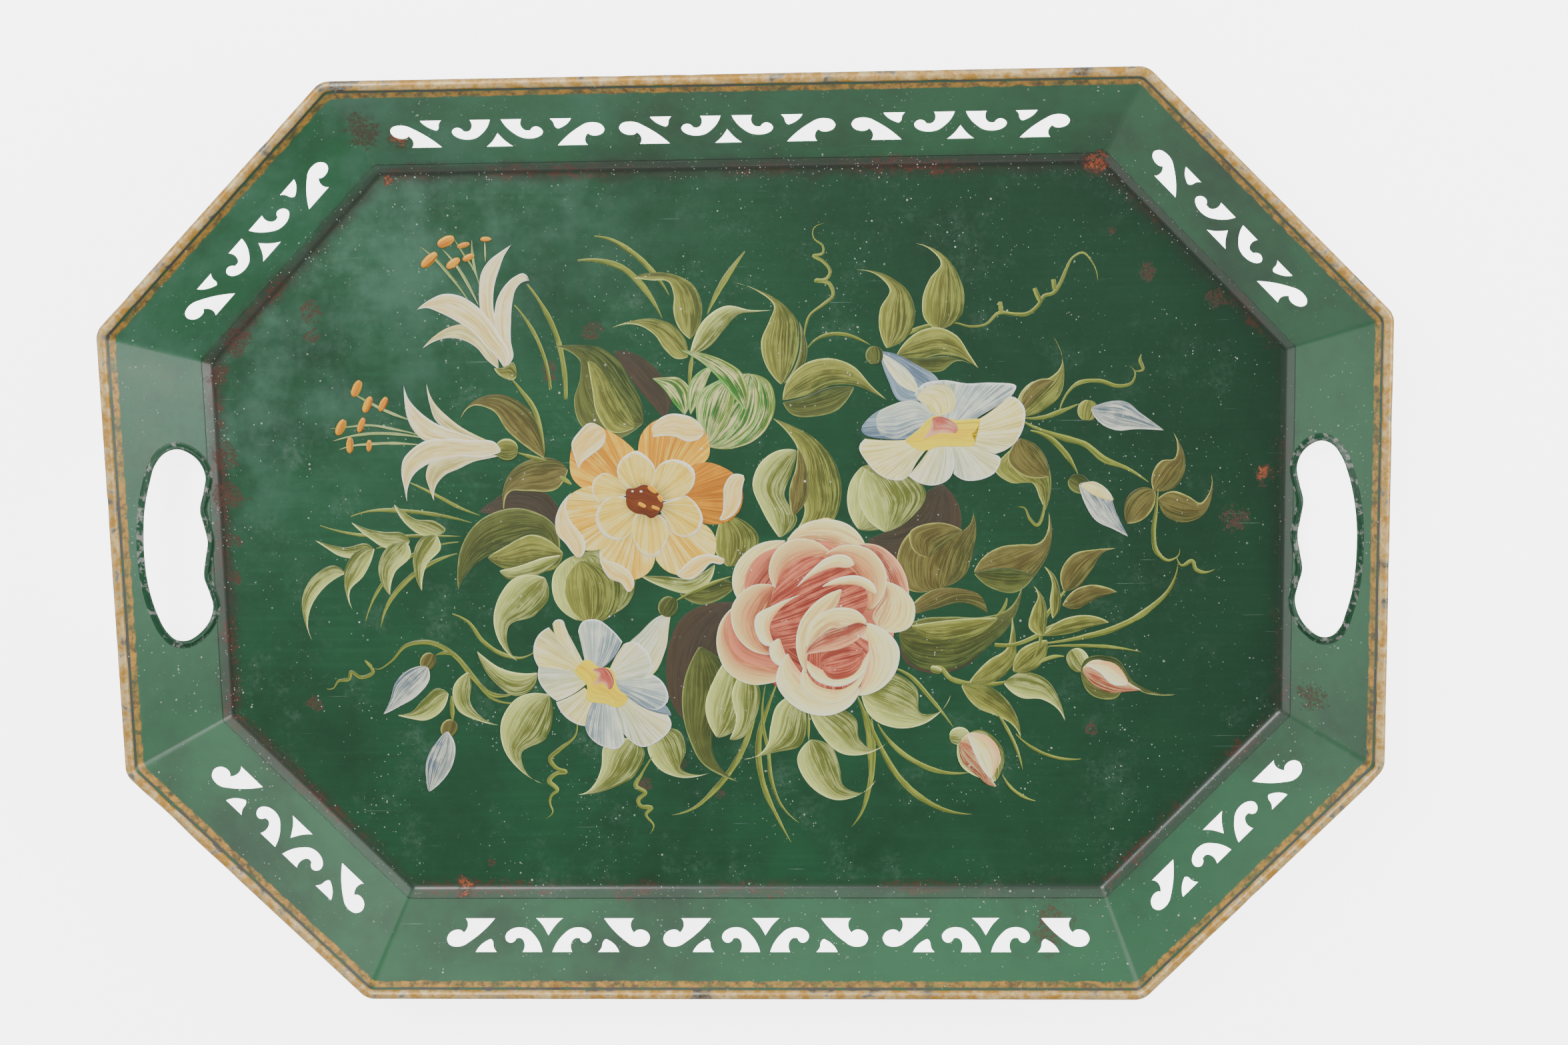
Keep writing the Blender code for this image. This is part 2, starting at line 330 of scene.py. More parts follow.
def ringsAt(run, radius, cornerSteps=8, sideSteps=60):
    # Rounded octagons: at each corner an arc of this radius touching both sides, and straight
    # stretches between the arcs. Shape (runs, points, 2).
    run, radius = np.atleast_1d(run).astype(float), np.atleast_1d(radius).astype(float)
    corner = octagon(run)
    last = np.roll(corner, 1, axis=1) - corner
    following = np.roll(corner, -1, axis=1) - corner
    last /= np.linalg.norm(last, axis=-1, keepdims=True)
    following /= np.linalg.norm(following, axis=-1, keepdims=True)
    half = np.arccos(np.clip((last * following).sum(-1), -1, 1)) / 2
    bisector = last + following
    bisector /= np.linalg.norm(bisector, axis=-1, keepdims=True)
    centre = corner + bisector * (radius[:, None] / np.sin(half))[..., None]
    begin = np.arctan2(last[..., 0], -last[..., 1])[..., None]
    angle = begin + (np.pi - 2 * half)[..., None] * np.linspace(0, 1, cornerSteps + 1)
    arc = centre[:, :, None] + radius[:, None, None, None] * np.stack([np.cos(angle), np.sin(angle)], -1)
    share = np.linspace(0, 1, sideSteps + 1)[1:-1][:, None]
    straight = arc[:, :, -1:, :] * (1 - share) + np.roll(arc, -1, axis=1)[:, :, :1, :] * share
    return np.concatenate([arc, straight], axis=2).reshape(len(run), -1, 2)


def cornerRadius(run):
    # grows slowly up the wall, then as the rolled rim's own offset
    run = np.asarray(run, float)
    wall = pan["cornerRadius"] + pan["cornerGrowth"] * run
    return np.maximum(wall, 5.9 + run - 43.7)


def sweepProfile(run, height, radius, **steps):
    # A profile of (run, height) carried round the octagon: shape (profile, points, 3).
    flat = ringsAt(run, radius, **steps)
    tall = np.broadcast_to(np.asarray(height, float)[:, None, None], (*flat.shape[:2], 1))
    return np.concatenate([flat, tall], axis=-1)


def wallPoint(climb, lift):
    # Run and height at a distance up the wall from the fold and a lift off the sheet's middle.
    return (climb * math.cos(wallAngle) - lift * math.sin(wallAngle),
            pan["sheet"] / 2 + climb * math.sin(wallAngle) + lift * math.cos(wallAngle))


def wallFrame(side):
    # Axes of a wall: along it, up its slope, out of its inner face, and the middle of its fold.
    corner = octagon(np.zeros(1))[0]
    first, second = corner[side - 1], corner[side]
    along = (first - second) / np.linalg.norm(first - second)
    outward = np.array([-along[1], along[0]])
    up = np.append(outward * math.cos(wallAngle), math.sin(wallAngle))
    out = np.append(-outward * math.sin(wallAngle), math.cos(wallAngle))
    return np.append(along, 0), up, out, np.append((first + second) / 2, pan["sheet"] / 2)


def onWall(side, across, climb, lift):
    along, up, out, middle = wallFrame(side)
    return (middle + np.asarray(across)[..., None] * along + np.asarray(climb)[..., None] * up
            + np.asarray(lift)[..., None] * out)


gallery = dict(  # one punched group in mm: across from its middle, up from the fold
    triangle=[[(-7.5, 17.8), (7.5, 17.8)], [(7.5, 17.8), (3.3, 22.2), (1.2, 25.6), (0, 27.8)],
              [(0, 27.8), (-1.2, 25.6), (-3.3, 22.2), (-7.5, 17.8)]],
    scroll=[[(2.6, 37.2), (13.3, 37.2)], [(13.3, 37.2), (12.3, 34.4), (12.6, 31.6), (14.2, 29.5), (16.9, 29.5)],
            [(16.9, 29.5), (17.8, 31.1), (19.6, 32.0), (21.6, 31.2), (22.9, 28.5), (22.3, 26.2), (20.4, 24.3),
             (16.2, 23.0), (12.0, 23.7), (7.4, 27.6), (2.6, 37.2)]],
    sliver=[[(26.6, 37.2), (38.1, 37.2)], [(38.1, 37.2), (37.8, 36.4), (30.8, 29.6)],
            [(30.8, 29.6), (30.2, 29.8), (29.3, 31.0), (28.6, 34.4), (26.6, 37.2)]],
    comma=[[(28.9, 17.9), (45.2, 17.9)], [(45.2, 17.9), (44.0, 19.2), (43.4, 21.5), (43.9, 24.0), (45.3, 26.0)],
           [(45.3, 26.0), (46.6, 24.7), (49.1, 24.3), (52.6, 26.0), (53.9, 29.3), (52.2, 33.0), (48.2, 34.2),
            (44.6, 33.4), (41.6, 31.3), (28.9, 17.9)]],
    # wall number and the groups' middles along it
    places={2: (-118.8, -3.7, 112.0), 6: (-121.8, -6.3, 108.6), 1: (0.0,), 3: (1.4,), 5: (-0.3,), 7: (-1.5,)},
)
handHole = dict(  # clear edge of the hand hole in mm, across and up, anticlockwise from the right end
    edge=[(51.5, 24), (50.0, 31), (44.5, 36.6), (36, 40.0), (25.5, 43.1), (12, 45.0), (0, 45.5), (-12, 45.0),
          (-24, 43.0), (-34, 40.0), (-42.5, 36.0), (-48.2, 30.5), (-49.7, 24), (-46.8, 16.5), (-41, 10.6),
          (-34, 8.2), (-26.5, 9.8), (-17.5, 12.4), (-8.5, 11.0), (0.8, 9.2), (9.5, 10.8), (18, 12.4), (27, 9.9),
          (35, 8.2), (42.5, 10.8), (48.5, 16.8)],
    # section of its rolled lip: outward from the clear edge, and lift off the sheet's middle
    lip=[(3.9, 0.30), (3.0, 0.62), (2.2, 1.12), (1.55, 1.55), (1.0, 1.72), (0.5, 1.55), (0.15, 1.05), (0.0, 0.35),
         (0.05, -0.35), (0.4, -0.95), (1.0, -1.2), (1.8, -0.95), (2.6, -0.45), (3.6, -0.34)],
    walls=(0, 4),
)


def outline(segments, spacing=0.7):
    # a closed outline from smooth stretches that meet at sharp corners
    parts = []
    for segment in segments:
        reach = np.linalg.norm(np.diff(np.asarray(segment, float), axis=0), axis=1).sum()
        parts.append(through(segment, max(2, round(reach / spacing)) if len(segment) > 2 else 2)[:-1])
    return np.concatenate(parts)


def normalsOf(loop):
    # outward unit normals of a closed anticlockwise loop: its tangent turned clockwise
    tangent = np.roll(loop, -1, axis=0) - np.roll(loop, 1, axis=0)
    tangent /= np.linalg.norm(tangent, axis=1, keepdims=True)
    return np.stack([tangent[:, 1], -tangent[:, 0]], axis=1)


def anticlockwise(loop):
    area = (loop[:, 0] * np.roll(loop[:, 1], -1) - np.roll(loop[:, 0], -1) * loop[:, 1]).sum()
    return loop if area > 0 else loop[::-1]


def prism(side, loop, depth):
    # the loop pushed through the wall both ways, closed with a cap at each end
    count = len(loop)
    points = np.concatenate([onWall(side, loop[:, 0], loop[:, 1], np.full(count, lift)) for lift in (-depth, depth)])
    faces = [tuple(range(count))[::-1], tuple(range(count, 2 * count))]
    faces += [(i, (i + 1) % count, (i + 1) % count + count, i + count) for i in range(count)]
    return points, faces


def makeCutter():
    points, faces, count = [], [], 0
    shapes = []
    for side, middles in gallery["places"].items():
        for middle in middles:
            for name in ("triangle", "scroll", "sliver", "comma"):
                loop = outline(gallery[name])
                hands = (1,) if name == "triangle" else (1, -1)
                shapes += [(side, loop * (hand, 1) + (middle, 0)) for hand in hands]
    for side in handHole["walls"]:
        edge = anticlockwise(through(handHole["edge"], 160, closed=True))
        shapes.append((side, edge + normalsOf(edge) * 1.6))
    for side, loop in shapes:
        ring, sides = prism(side, anticlockwise(loop), 4)
        points.append(ring)
        faces += [tuple(i + count for i in face) for face in sides]
        count += len(ring)
    mesh = bpy.data.meshes.new("cutter")
    mesh.from_pydata((np.concatenate(points) / 1000).tolist(), [], faces)
    cutter = bpy.data.objects.new("cutter", mesh)
    bpy.context.scene.collection.objects.link(cutter)
    return cutter


def closedSweep(name, run, height, material, **steps):
    # a closed profile carried round the octagon, its faces turned outward
    grid = sweepProfile(run, height, cornerRadius(run), **steps)
    rows, columns = grid.shape[:2]
    return meshObject(name, grid.reshape(-1, 3), gridFaces(rows, columns, True, True), material)


def floorHeight(x, y):
    # the pressed floor's gentle unevenness, gone at its edges
    reach = np.maximum(np.abs(x) / foldLength, np.abs(y) / foldWidth)
    return pan["sheet"] + 0.07 * np.clip((1 - reach) * 5, 0, 1) * waves(x, y, 150, 4)


def makeFloor(material):
    # flat octagon rings shrinking to the middle, the fold's arc and the first millimetres of the wall,
    # then the same back along the underside
    turn = np.linspace(0, wallAngle, 9)
    
    def side(bend, height, sign):
        start = -(pan["foldRadius"] + pan["sheet"] / 2) * math.tan(wallAngle / 2)
        run, rise = wallPoint(np.linspace(3.6, 7.0, 3), sign * pan["sheet"] / 2)
        return (np.concatenate([start + bend * np.sin(turn), run]),
                np.concatenate([height + bend * (1 - np.cos(turn)), rise]))
    topRun, topHeight = side(pan["foldRadius"], pan["sheet"], 1)
    lowRun, lowHeight = side(pan["foldRadius"] + pan["sheet"], 0, -1)
    run = np.concatenate([topRun, lowRun[::-1]])
    height = np.concatenate([topHeight, lowHeight[::-1]])
    rim = sweepProfile(run, height, cornerRadius(run), sideSteps=40)
    shrink = np.linspace(0.02, 1, 56)[:-1, None, None]
    top = rim[:1, :, :2] * shrink
    top = np.concatenate([top, floorHeight(top[..., 0], top[..., 1])[..., None]], axis=2)
    low = np.concatenate([rim[-1:, :, :2] * shrink[::-5], np.zeros((len(shrink[::-5]), rim.shape[1], 1))], axis=2)
    grid = np.concatenate([top, rim, low])
    rows, columns = grid.shape[:2]
    faces = [tuple(face) for face in gridFaces(rows, columns, False, True).tolist()]
    faces += [tuple(range(columns)), tuple(range((rows - 1) * columns, rows * columns))[::-1]]
    return meshObject("pan_floor", grid.reshape(-1, 3), faces, material)


def faceOutward(obj):
    # turns every face of a closed shell outward and keeps edges over 32 degrees sharp
    mesh = bmesh.new()
    mesh.from_mesh(obj.data)
    bmesh.ops.recalc_face_normals(mesh, faces=mesh.faces)
    mesh.to_mesh(obj.data)
    mesh.free()
    obj.data.set_sharp_from_angle(angle=math.radians(32))
    return obj


def makeWalls(material):
    climb = np.concatenate([np.linspace(6.5, 58.45, 9), np.linspace(58.45, 6.5, 9)])
    lift = np.repeat([pan["sheet"] / 2, -pan["sheet"] / 2], 9)
    run, height = wallPoint(climb, lift)
    walls = faceOutward(closedSweep("pan_walls", run, height, material, sideSteps=18))
    cutter = makeCutter()
    punch = walls.modifiers.new("punch", "BOOLEAN")
    punch.operation, punch.solver, punch.object = "DIFFERENCE", "EXACT", cutter
    graph = bpy.context.evaluated_depsgraph_get()
    mesh = bpy.data.meshes.new_from_object(walls.evaluated_get(graph))
    walls.modifiers.clear()
    walls.data = mesh
    bpy.data.objects.remove(cutter)
    mesh.set_sharp_from_angle(angle=math.radians(32))
    return walls


def makeRim(material):
    # the sheet's edge rolled over and under the wire, with small dents pressed inward
    radius = 2.15
    first = math.pi - math.asin(pan["wireOffset"] / radius)
    turn = np.linspace(first, math.radians(-188), 44) + wallAngle
    run = np.concatenate([pan["rimRun"] + 2.5 * np.cos(turn), pan["rimRun"] + 1.8 * np.cos(turn[::-1])])
    height = np.concatenate([wireHeight + 2.5 * np.sin(turn), wireHeight + 1.8 * np.sin(turn[::-1])])
    grid = sweepProfile(run, height, cornerRadius(run), cornerSteps=10, sideSteps=64)
    middle = sweepProfile(np.array([pan["rimRun"]]), np.array([wireHeight]), cornerRadius(pan["rimRun"]),
                          cornerSteps=10, sideSteps=64)
    dent = np.clip(waves(grid[..., 0], grid[..., 1], 38, 11) - 0.55, 0, 1) * 0.5
    grid += (middle - grid) * (dent * 0.35)[..., None]
    rows, columns = grid.shape[:2]
    return faceOutward(meshObject("pan_rim", grid.reshape(-1, 3), gridFaces(rows, columns, True, True), material))


def makeLip(name, side, material):
    # the lip's section carried round the hand hole's edge
    edge = anticlockwise(through(handHole["edge"], 220, closed=True))
    out = normalsOf(edge)
    section = through(handHole["lip"], 40, closed=True)
    across = edge[None, :, 0] + section[:, None, 0] * out[None, :, 0]
    climb = edge[None, :, 1] + section[:, None, 0] * out[None, :, 1]
    lift = np.broadcast_to(section[:, None, 1], across.shape)
    grid = onWall(side, across, climb, lift)
    rows, columns = grid.shape[:2]
    return faceOutward(meshObject(name, grid.reshape(-1, 3), gridFaces(rows, columns, True, True), material))


enamel = dict(
    ground=srgb("#174a2c"), deep=srgb("#11371f"), lifted=srgb("#245d3a"), far=srgb("#0f2f1b"), haze=srgb("#86a095"),
    bare=srgb("#3a3630"), rust=srgb("#56291f"), freshRust=srgb("#a8502a"), grime=srgb("#2c2a20"),
    gold=srgb("#b5852f"), goldLight=srgb("#e6cc92"), goldDark=srgb("#5d4a2a"), steel=srgb("#8f8f8a"),
    speck=srgb("#c8cfc6"), outer=srgb("#0b1d12"),
)
rustSpots = [  # middle across and up in mm, radius, how fresh
    (-179, 187, 3.5, 0.3), (180, 190, 7, 0.5), (-186, 212, 9, 0.1), (-170, 208, 5, 0.3), (-271, 45, 7, 0.0),
    (-270, 24, 8, 0.2), (-272, 88, 6, 0.0), (-268, 0, 4, 0.2), (-270, -20, 4, 0.1), (-262, 104, 7, 0.0),
    (250, 8, 7, 0.0), (266, 30, 5, 0.4), (289, -84, 7, 0.1), (206, 135, 5, 0.1), (240, 120, 5, 0.0),
    (-155, -188, 6, 0.8), (-100, 88, 5, 0.0), (-77, 108, 5.5, 0.0), (-223, 120, 6, 0.0), (-222, 107, 4, 0.0),
    (-231, -88, 4.5, 0.0), (-57, -134, 4.5, 0.0), (-37, -122, 3, 0.1), (-17, -139, 3, 0.0), (178, -104, 3.5, 0.0),
    (157, -207, 10, 0.2), (-140, -176, 2.5, 0.1), (188, 155, 2, 0.0), (-157, -236, 5, 0.3), (-103, -233, 4, 0.7),
]


def spotMask(paint, spots, ragged):
    # the largest over all spots of a disc whose edge is torn by noise
    total = None
    for x, y, radius, _ in spots:
        away = paint.node("ShaderNodeVectorMath", {"operation": "DISTANCE"}, {0: paint.flat, 1: (x, y, 0)}, "Value")
        disc = paint.step(away / (radius * 0.85) + ragged, 1.1, 0.95)
        total = disc if total is None else total.over(disc)
    return total


def foldDistance(paint):
    # distance from the line where the floor turns up: the largest of the octagon's four pairs of sides
    across, up = paint.x.size(), paint.y.size()
    corner = across * 0.7202 + up * 0.6938 - 263.3
    outside = (across - foldLength).over(up - foldWidth).over(corner)
    return outside.size()


def farShade(paint, cloud):
    # how much the ground darkens towards the right and the far side
    return paint.step(paint.x * 0.9 + paint.y * 0.45 + (cloud - 0.5) * 160, -60, 240) * 0.6


def makeEnamel(name, where):
    # green ground clouded by noise, then haze, painted shade in the folds and on the down-facing faces, gold at the
    # rim, rust, scratches, specks
    paint = Paint(name, roughness=0.36, coat=0.35 if where == "floor" else 0.2, coatRoughness=0.22)
    e = enamel
    paint.flat = paint.stretched(paint.place, (1, 1, 0))
    broad = paint.noise(90, 4, 0.6)
    fine = paint.noise(2.2, 5, 0.65)
    middling = paint.noise(14, 5, 0.6)
    brushed = paint.noise(1, 4, 0.6, paint.stretched(paint.place, (0.012, 0.35, 0.2)))
    ground = e["ground"] if where == "floor" else srgb("#1a5b35")
    colour = paint.mix(e["deep"], ground, paint.step(broad + middling * 0.4, 0.35, 0.85))
    colour = paint.mix(colour, e["lifted"], paint.step(brushed * 0.6 + broad * 0.5, 0.5, 0.85) * 0.45)
    corner = paint.step(paint.y - paint.x * 0.8, 120, 330) * paint.step(paint.noise(40, 5, 0.65), 0.35, 0.7)
    colour = paint.mix(colour, srgb("#477560"), corner * 0.6)
    if where == "floor":
        far = farShade(paint, broad)
        colour = paint.mix(colour, e["far"], far)
        dusty = paint.step(paint.noise(34, 5, 0.7), 0.5, 0.74) * paint.step(fine, 0.3, 0.7)
        colour = paint.mix(colour, srgb("#54705f"), dusty * (1 - far) * 0.55)
    scratchMap = paint.stretched(paint.place, (0.02, 1.6, 1.0))
    hair = paint.noise(1.0, 2, 0.5, scratchMap)
    scratches = paint.step(hair, 0.735, 0.76) * paint.step(paint.noise(30, 2), 0.5, 0.62)
    colour = paint.mix(colour, e["haze"], scratches * 0.55)
    roughness = 0.30 + 0.16 * fine + 0.2 * corner
    height = fine * 0.02 + middling * 0.06
    if where in ("floor", "walls"):
        # painted shade darkens the creases along the folds, more on the far side and the left
        away = foldDistance(paint)
        uneven = (middling - 0.5) * 9
        creaseShade = paint.step(away + uneven, 8.0, 0.0) * (0.35 + 0.65 * paint.step(paint.y - paint.x * 0.7, -120, 110))
        # painted shade: the colour darkens towards the fold crease
        colour = paint.mix(colour, e["grime"], creaseShade * 0.72)
        sore = paint.step(away + (paint.noise(8, 5, 0.75) - 0.5) * 26, 4.0, 1.0) * paint.step(fine, 0.42, 0.55)
        colour = paint.mix(colour, e["rust"], sore * paint.step(paint.noise(60, 3), 0.44, 0.6) * 0.75)
        # a painted dark line of shade right on the fold
        line = paint.step(away, 1.5, 0.3) * (0.3 + 0.4 * fine)
        colour = paint.mix(colour, srgb("#101d16"), line)
        salt = paint.dots(1.3, 0.35, 7.0) * creaseShade * paint.step(paint.noise(12, 3), 0.4, 0.6)
        colour = paint.mix(colour, e["speck"], salt * 0.8)
    if where == "walls":
        # painted shade: the outer faces, which look down, are darkened towards a near-black green
        facing = paint.node("ShaderNodeNewGeometry", {}, {}, "True Normal")
        under = paint.step(paint.node("ShaderNodeSeparateXYZ", {}, {0: facing}, "Z"), -0.2, -0.6)
        colour = paint.mix(colour, enamel["outer"], under * 0.88)
    ragged = (paint.noise(5.0, 5, 0.75) - 0.5) * 4.0
    rust = spotMask(paint, rustSpots, ragged) * paint.step(paint.noise(1.5, 5, 0.8), 0.45, 0.54)
    fresh = spotMask(paint, [spot for spot in rustSpots if spot[3] > 0.25], ragged + 0.35)
    loose = paint.step(paint.noise(6, 6, 0.78), 0.70, 0.72) * paint.step(paint.noise(70, 3), 0.42, 0.6)
    colour = paint.mix(colour, e["rust"], (rust.over(loose * 0.7)) * 0.72)
    colour = paint.mix(colour, e["freshRust"], fresh * paint.step(fine, 0.4, 0.6))
    if where in ("walls", "rim"):
        climb = (paint.z - 0.35) / math.sin(wallAngle)
        torn = (paint.noise(7, 5, 0.7) - 0.5) * 3.2
        worn = paint.step(paint.noise(5, 5, 0.7), 0.40, 0.56)
        band = paint.step(climb + torn, 53.4, 54.4) * paint.step(climb + torn * 0.25, 57.6, 56.9)
        gilt = paint.mix(e["goldDark"], e["gold"], paint.step(paint.noise(4, 5, 0.7), 0.35, 0.6))
        colour = paint.mix(colour, gilt, band * (0.55 + 0.45 * worn))
        bareBand = paint.step(climb, 57.0, 57.7)
        edging = paint.mix(e["ground"], e["bare"], paint.step(paint.noise(6, 5, 0.7), 0.42, 0.55))
        colour = paint.mix(colour, edging, bareBand)
        metal = band * 0.35
    else:
        metal = None
    specks = paint.dots(1.2, 0.10, 3.0).over(paint.dots(2.0, 0.06, 11.0)) * paint.step(paint.noise(36, 4), 0.42, 0.62)
    flecks = paint.step(paint.noise(1.1, 3, 0.6), 0.71, 0.75) * paint.step(paint.noise(24, 4), 0.45, 0.65)
    colour = paint.mix(colour, e["speck"], specks.over(flecks * 0.7) * 0.75)
    roughness = paint.step(rust, 0.2, 0.6) * 0.4 + roughness
    paint.finish(colour, roughness, height - rust * 0.05, 1.0, metallic=metal)
    return paint.material


def makeGilt():
    # old gold over the roll, darkened below its middle height as painted shade, rubbed to dark steel in patches and at
    # the corners
    paint = Paint("rim_gilt", roughness=0.42)
    e = enamel
    patch = paint.noise(12, 6, 0.72)
    fine = paint.noise(1.5, 4, 0.7)
    gold = paint.mix(e["gold"], e["goldLight"], paint.step(paint.noise(6, 4, 0.7), 0.35, 0.7))
    dark = paint.mix(e["bare"], e["steel"], paint.step(fine, 0.35, 0.65))
    colour = paint.mix(gold, dark, paint.step(patch, 0.54, 0.62) * 0.9)
    # painted shade: the gold darkens on the underside of the roll
    colour = paint.mix(colour, e["goldDark"], paint.step(paint.z, 38.0, 36.9))
    worn = paint.step(patch, 0.54, 0.62)
    paint.finish(colour, 0.30 + 0.3 * fine, patch * 0.08 + fine * 0.03, 1.0, metallic=0.25 + worn * 0.4)
    return paint.material


def makeLipPaint():
    # green over the lip, rubbed through to grey steel in patches
    paint = Paint("lip_paint", roughness=0.38)
    e = enamel
    fine = paint.noise(2.0, 4, 0.7)
    colour = paint.mix(srgb("#173f2b"), e["ground"], paint.step(fine, 0.3, 0.7))
    colour = paint.mix(colour, e["steel"], paint.step(paint.noise(5, 5, 0.7), 0.52, 0.6) * 0.8)
    paint.finish(colour, 0.3 + 0.25 * fine, fine * 0.03, 1.0)
    return paint.material


floorPiece = makeFloor(makeEnamel("floor_enamel", "floor"))
wallPiece = makeWalls(makeEnamel("wall_enamel", "walls"))
rimPiece = makeRim(makeGilt())
lipPaint = makeLipPaint()
lipPieces = [makeLip(f"hand_hole_lip_{side}", side, lipPaint) for side in handHole["walls"]]
faceOutward(floorPiece)
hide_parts("tray_pan")
for piece in (wallPiece, rimPiece, *lipPieces):
    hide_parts("tray_pan")
print("pan made:", [len(piece.data.polygons) for piece in (floorPiece, wallPiece, rimPiece)])

# The painting. A stroke is a patch between two rails from its root to its tip, in mm on the floor;
# where the rails end apart, an outer edge joins them. Colours run from rail to rail.
tones = dict(
    leaf=dict(side="#989b5c", middle="#77793a", other="#5d6d34", hair="#b7ba82", load=0.35, rim="#b9bf8e", at="s"),
    leafDark=dict(side="#727a42", middle="#585f2a", other="#41562b", hair="#98a066", load=0.3, rim="#9aa470", at="s"),
    leafLight=dict(side="#b9bf8a", middle="#868d4a", other="#71803f", hair="#cdd2a2", load=0.42, rim="#d3d8ae", at="s"),
    leafBrown=dict(side="#877e48", middle="#706431", other="#596030", hair="#a9a472", load=0.3, rim="#b2b27e", at="s"),
    bright=dict(side="#5b9c4a", middle="#4a8a40", other="#86a058", hair="#dfd4ac", load=0.7, rim="#86b674", at="s"),
    shadow=dict(side="#5f4d3a", middle="#54483a", other="#4c4630", hair="#6b5c44", load=0.4),
    stem=dict(side="#a0a765", middle="#7f8a44", other="#6a7a3a", hair="#b4ba80", load=0.3),
    filament=dict(side="#b9c294", middle="#93a26a", other="#7b8f58", hair="#cfd6b0", load=0.3),
    lily=dict(side="#d8c9a2", middle="#cdbc8e", other="#dccda8", hair="#f4ead0", load=0.65, rim="#fbf6e8", at="so"),
    lilyShade=dict(side="#c6b98f", middle="#b3aa7c", other="#cdc09a", hair="#e6dbba", load=0.6, rim="#f3ecd8", at="s"),
    anther=dict(side="#e9a92c", middle="#dd8f1f", other="#b5631a", hair="#f2bf4a", load=0.4),
    ochre=dict(side="#dda656", middle="#d39647", other="#dbaa5e", hair="#ecc98c", load=0.55, root="#b98a45"),
    orange=dict(side="#d28f3b", middle="#cc8533", other="#c98a3e", hair="#dda55a", load=0.5, root="#c08236"),
    straw=dict(side="#eec28a", middle="#dfae6c", other="#eac48c", hair="#f8deb4", load=0.65, root="#8a8a52"),
    turned=dict(side="#f4d4ac", middle="#e8b884", other="#f0c89a", hair="#fbe8ca", load=0.45, rim="#fdf7ea", at="so"),
    cream=dict(side="#f2c48c", middle="#eeba7e", other="#f1c590", hair="#fadcb0", load=0.5, root="#a3915a",
               rim="#fbf2dd", at="sor"),
    roseCream=dict(side="#f2d8ae", middle="#ecc096", other="#d08468", hair="#f8e0b8", load=0.6, rim="#f6e6d2", at="s"),
    rosePink=dict(side="#e6a588", middle="#d07560", other="#ae463c", hair="#e6b79c", load=0.5, rim="#e8b8a2", at="s"),
    roseDeep=dict(side="#eed3a8", middle="#d58c70", other="#a8403a", hair="#ecb890", load=0.45, rim="#f4e4cf", at="s"),
    roseInner=dict(side="#dd9880", middle="#c05c4c", other="#a43c34", hair="#dc8e78", load=0.6),
    roseTip=dict(side="#f6e4c0", middle="#f0d2a4", other="#e3a584", hair="#fbeed0", load=0.4, rim="#fbf1e0", at="s"),
    roseRed=dict(side="#cf6652", middle="#c24e40", other="#cc6a58", hair="#e09a84", load=0.6),
    bluish=dict(side="#bcc2b4", middle="#9fabac", other="#8396a6", hair="#e9e5ce", load=0.65, rim="#f3f0e6", at="r"),
    slate=dict(side="#8ea0ad", middle="#8195a3", other="#7488a0", hair="#b3bec2", load=0.4),
    white=dict(side="#d6d0aa", middle="#c2c2a4", other="#b4baa8", hair="#f6f0da", load=0.65, root="#c9c79a",
               rim="#f6f3e8", at="r"),
    whiteWarm=dict(side="#e2d19e", middle="#cfc394", other="#bfbd98", hair="#f9eecb", load=0.65, root="#d3c98c",
                   rim="#f8f3e6", at="r"),
    throat=dict(side="#dccb80", middle="#dcb80c", other="#dccb80", hair="#e8c60c", load=0.85),
    throatRed=dict(side="#d65f55", middle="#de7568", other="#eab59c", hair="#eec3ae", load=0.4),
    core=dict(side="#8a3a14", middle="#97471a", other="#7c3312", hair="#b5651f", load=0.5),
    coreGold=dict(side="#e3ad1d", middle="#dca018", other="#d9a326", hair="#f0c440", load=0.4),
    bud=dict(side="#a9aea6", middle="#808f98", other="#7288a0", hair="#dcdccb", load=0.65, rim="#eceade", at="s"),
    budPink=dict(side="#b04436", middle="#cf7a62", other="#eaceA0", hair="#f2d8b0", load=0.4, rim="#f4e2c0", at="o"),
)


def rich(code):
    # oil colour: further from grey than its sRGB code, darks a little deeper and lights a little brighter
    colour = np.array(srgb(code))[:3]
    grey = colour @ np.array([0.21, 0.72, 0.07])
    depth = 0.50 + 0.78 * smooth(0.16, 0.55, grey)
    strength = 1.10 + 0.42 * smooth(0.15, 0.5, grey)
    return np.clip((grey + (colour - grey) * strength) * depth, 0.002, 0.93)


tones = {name: {key: rich(value) if str(value).startswith("#") else value for key, value in tone.items()}
         for name, tone in tones.items()}


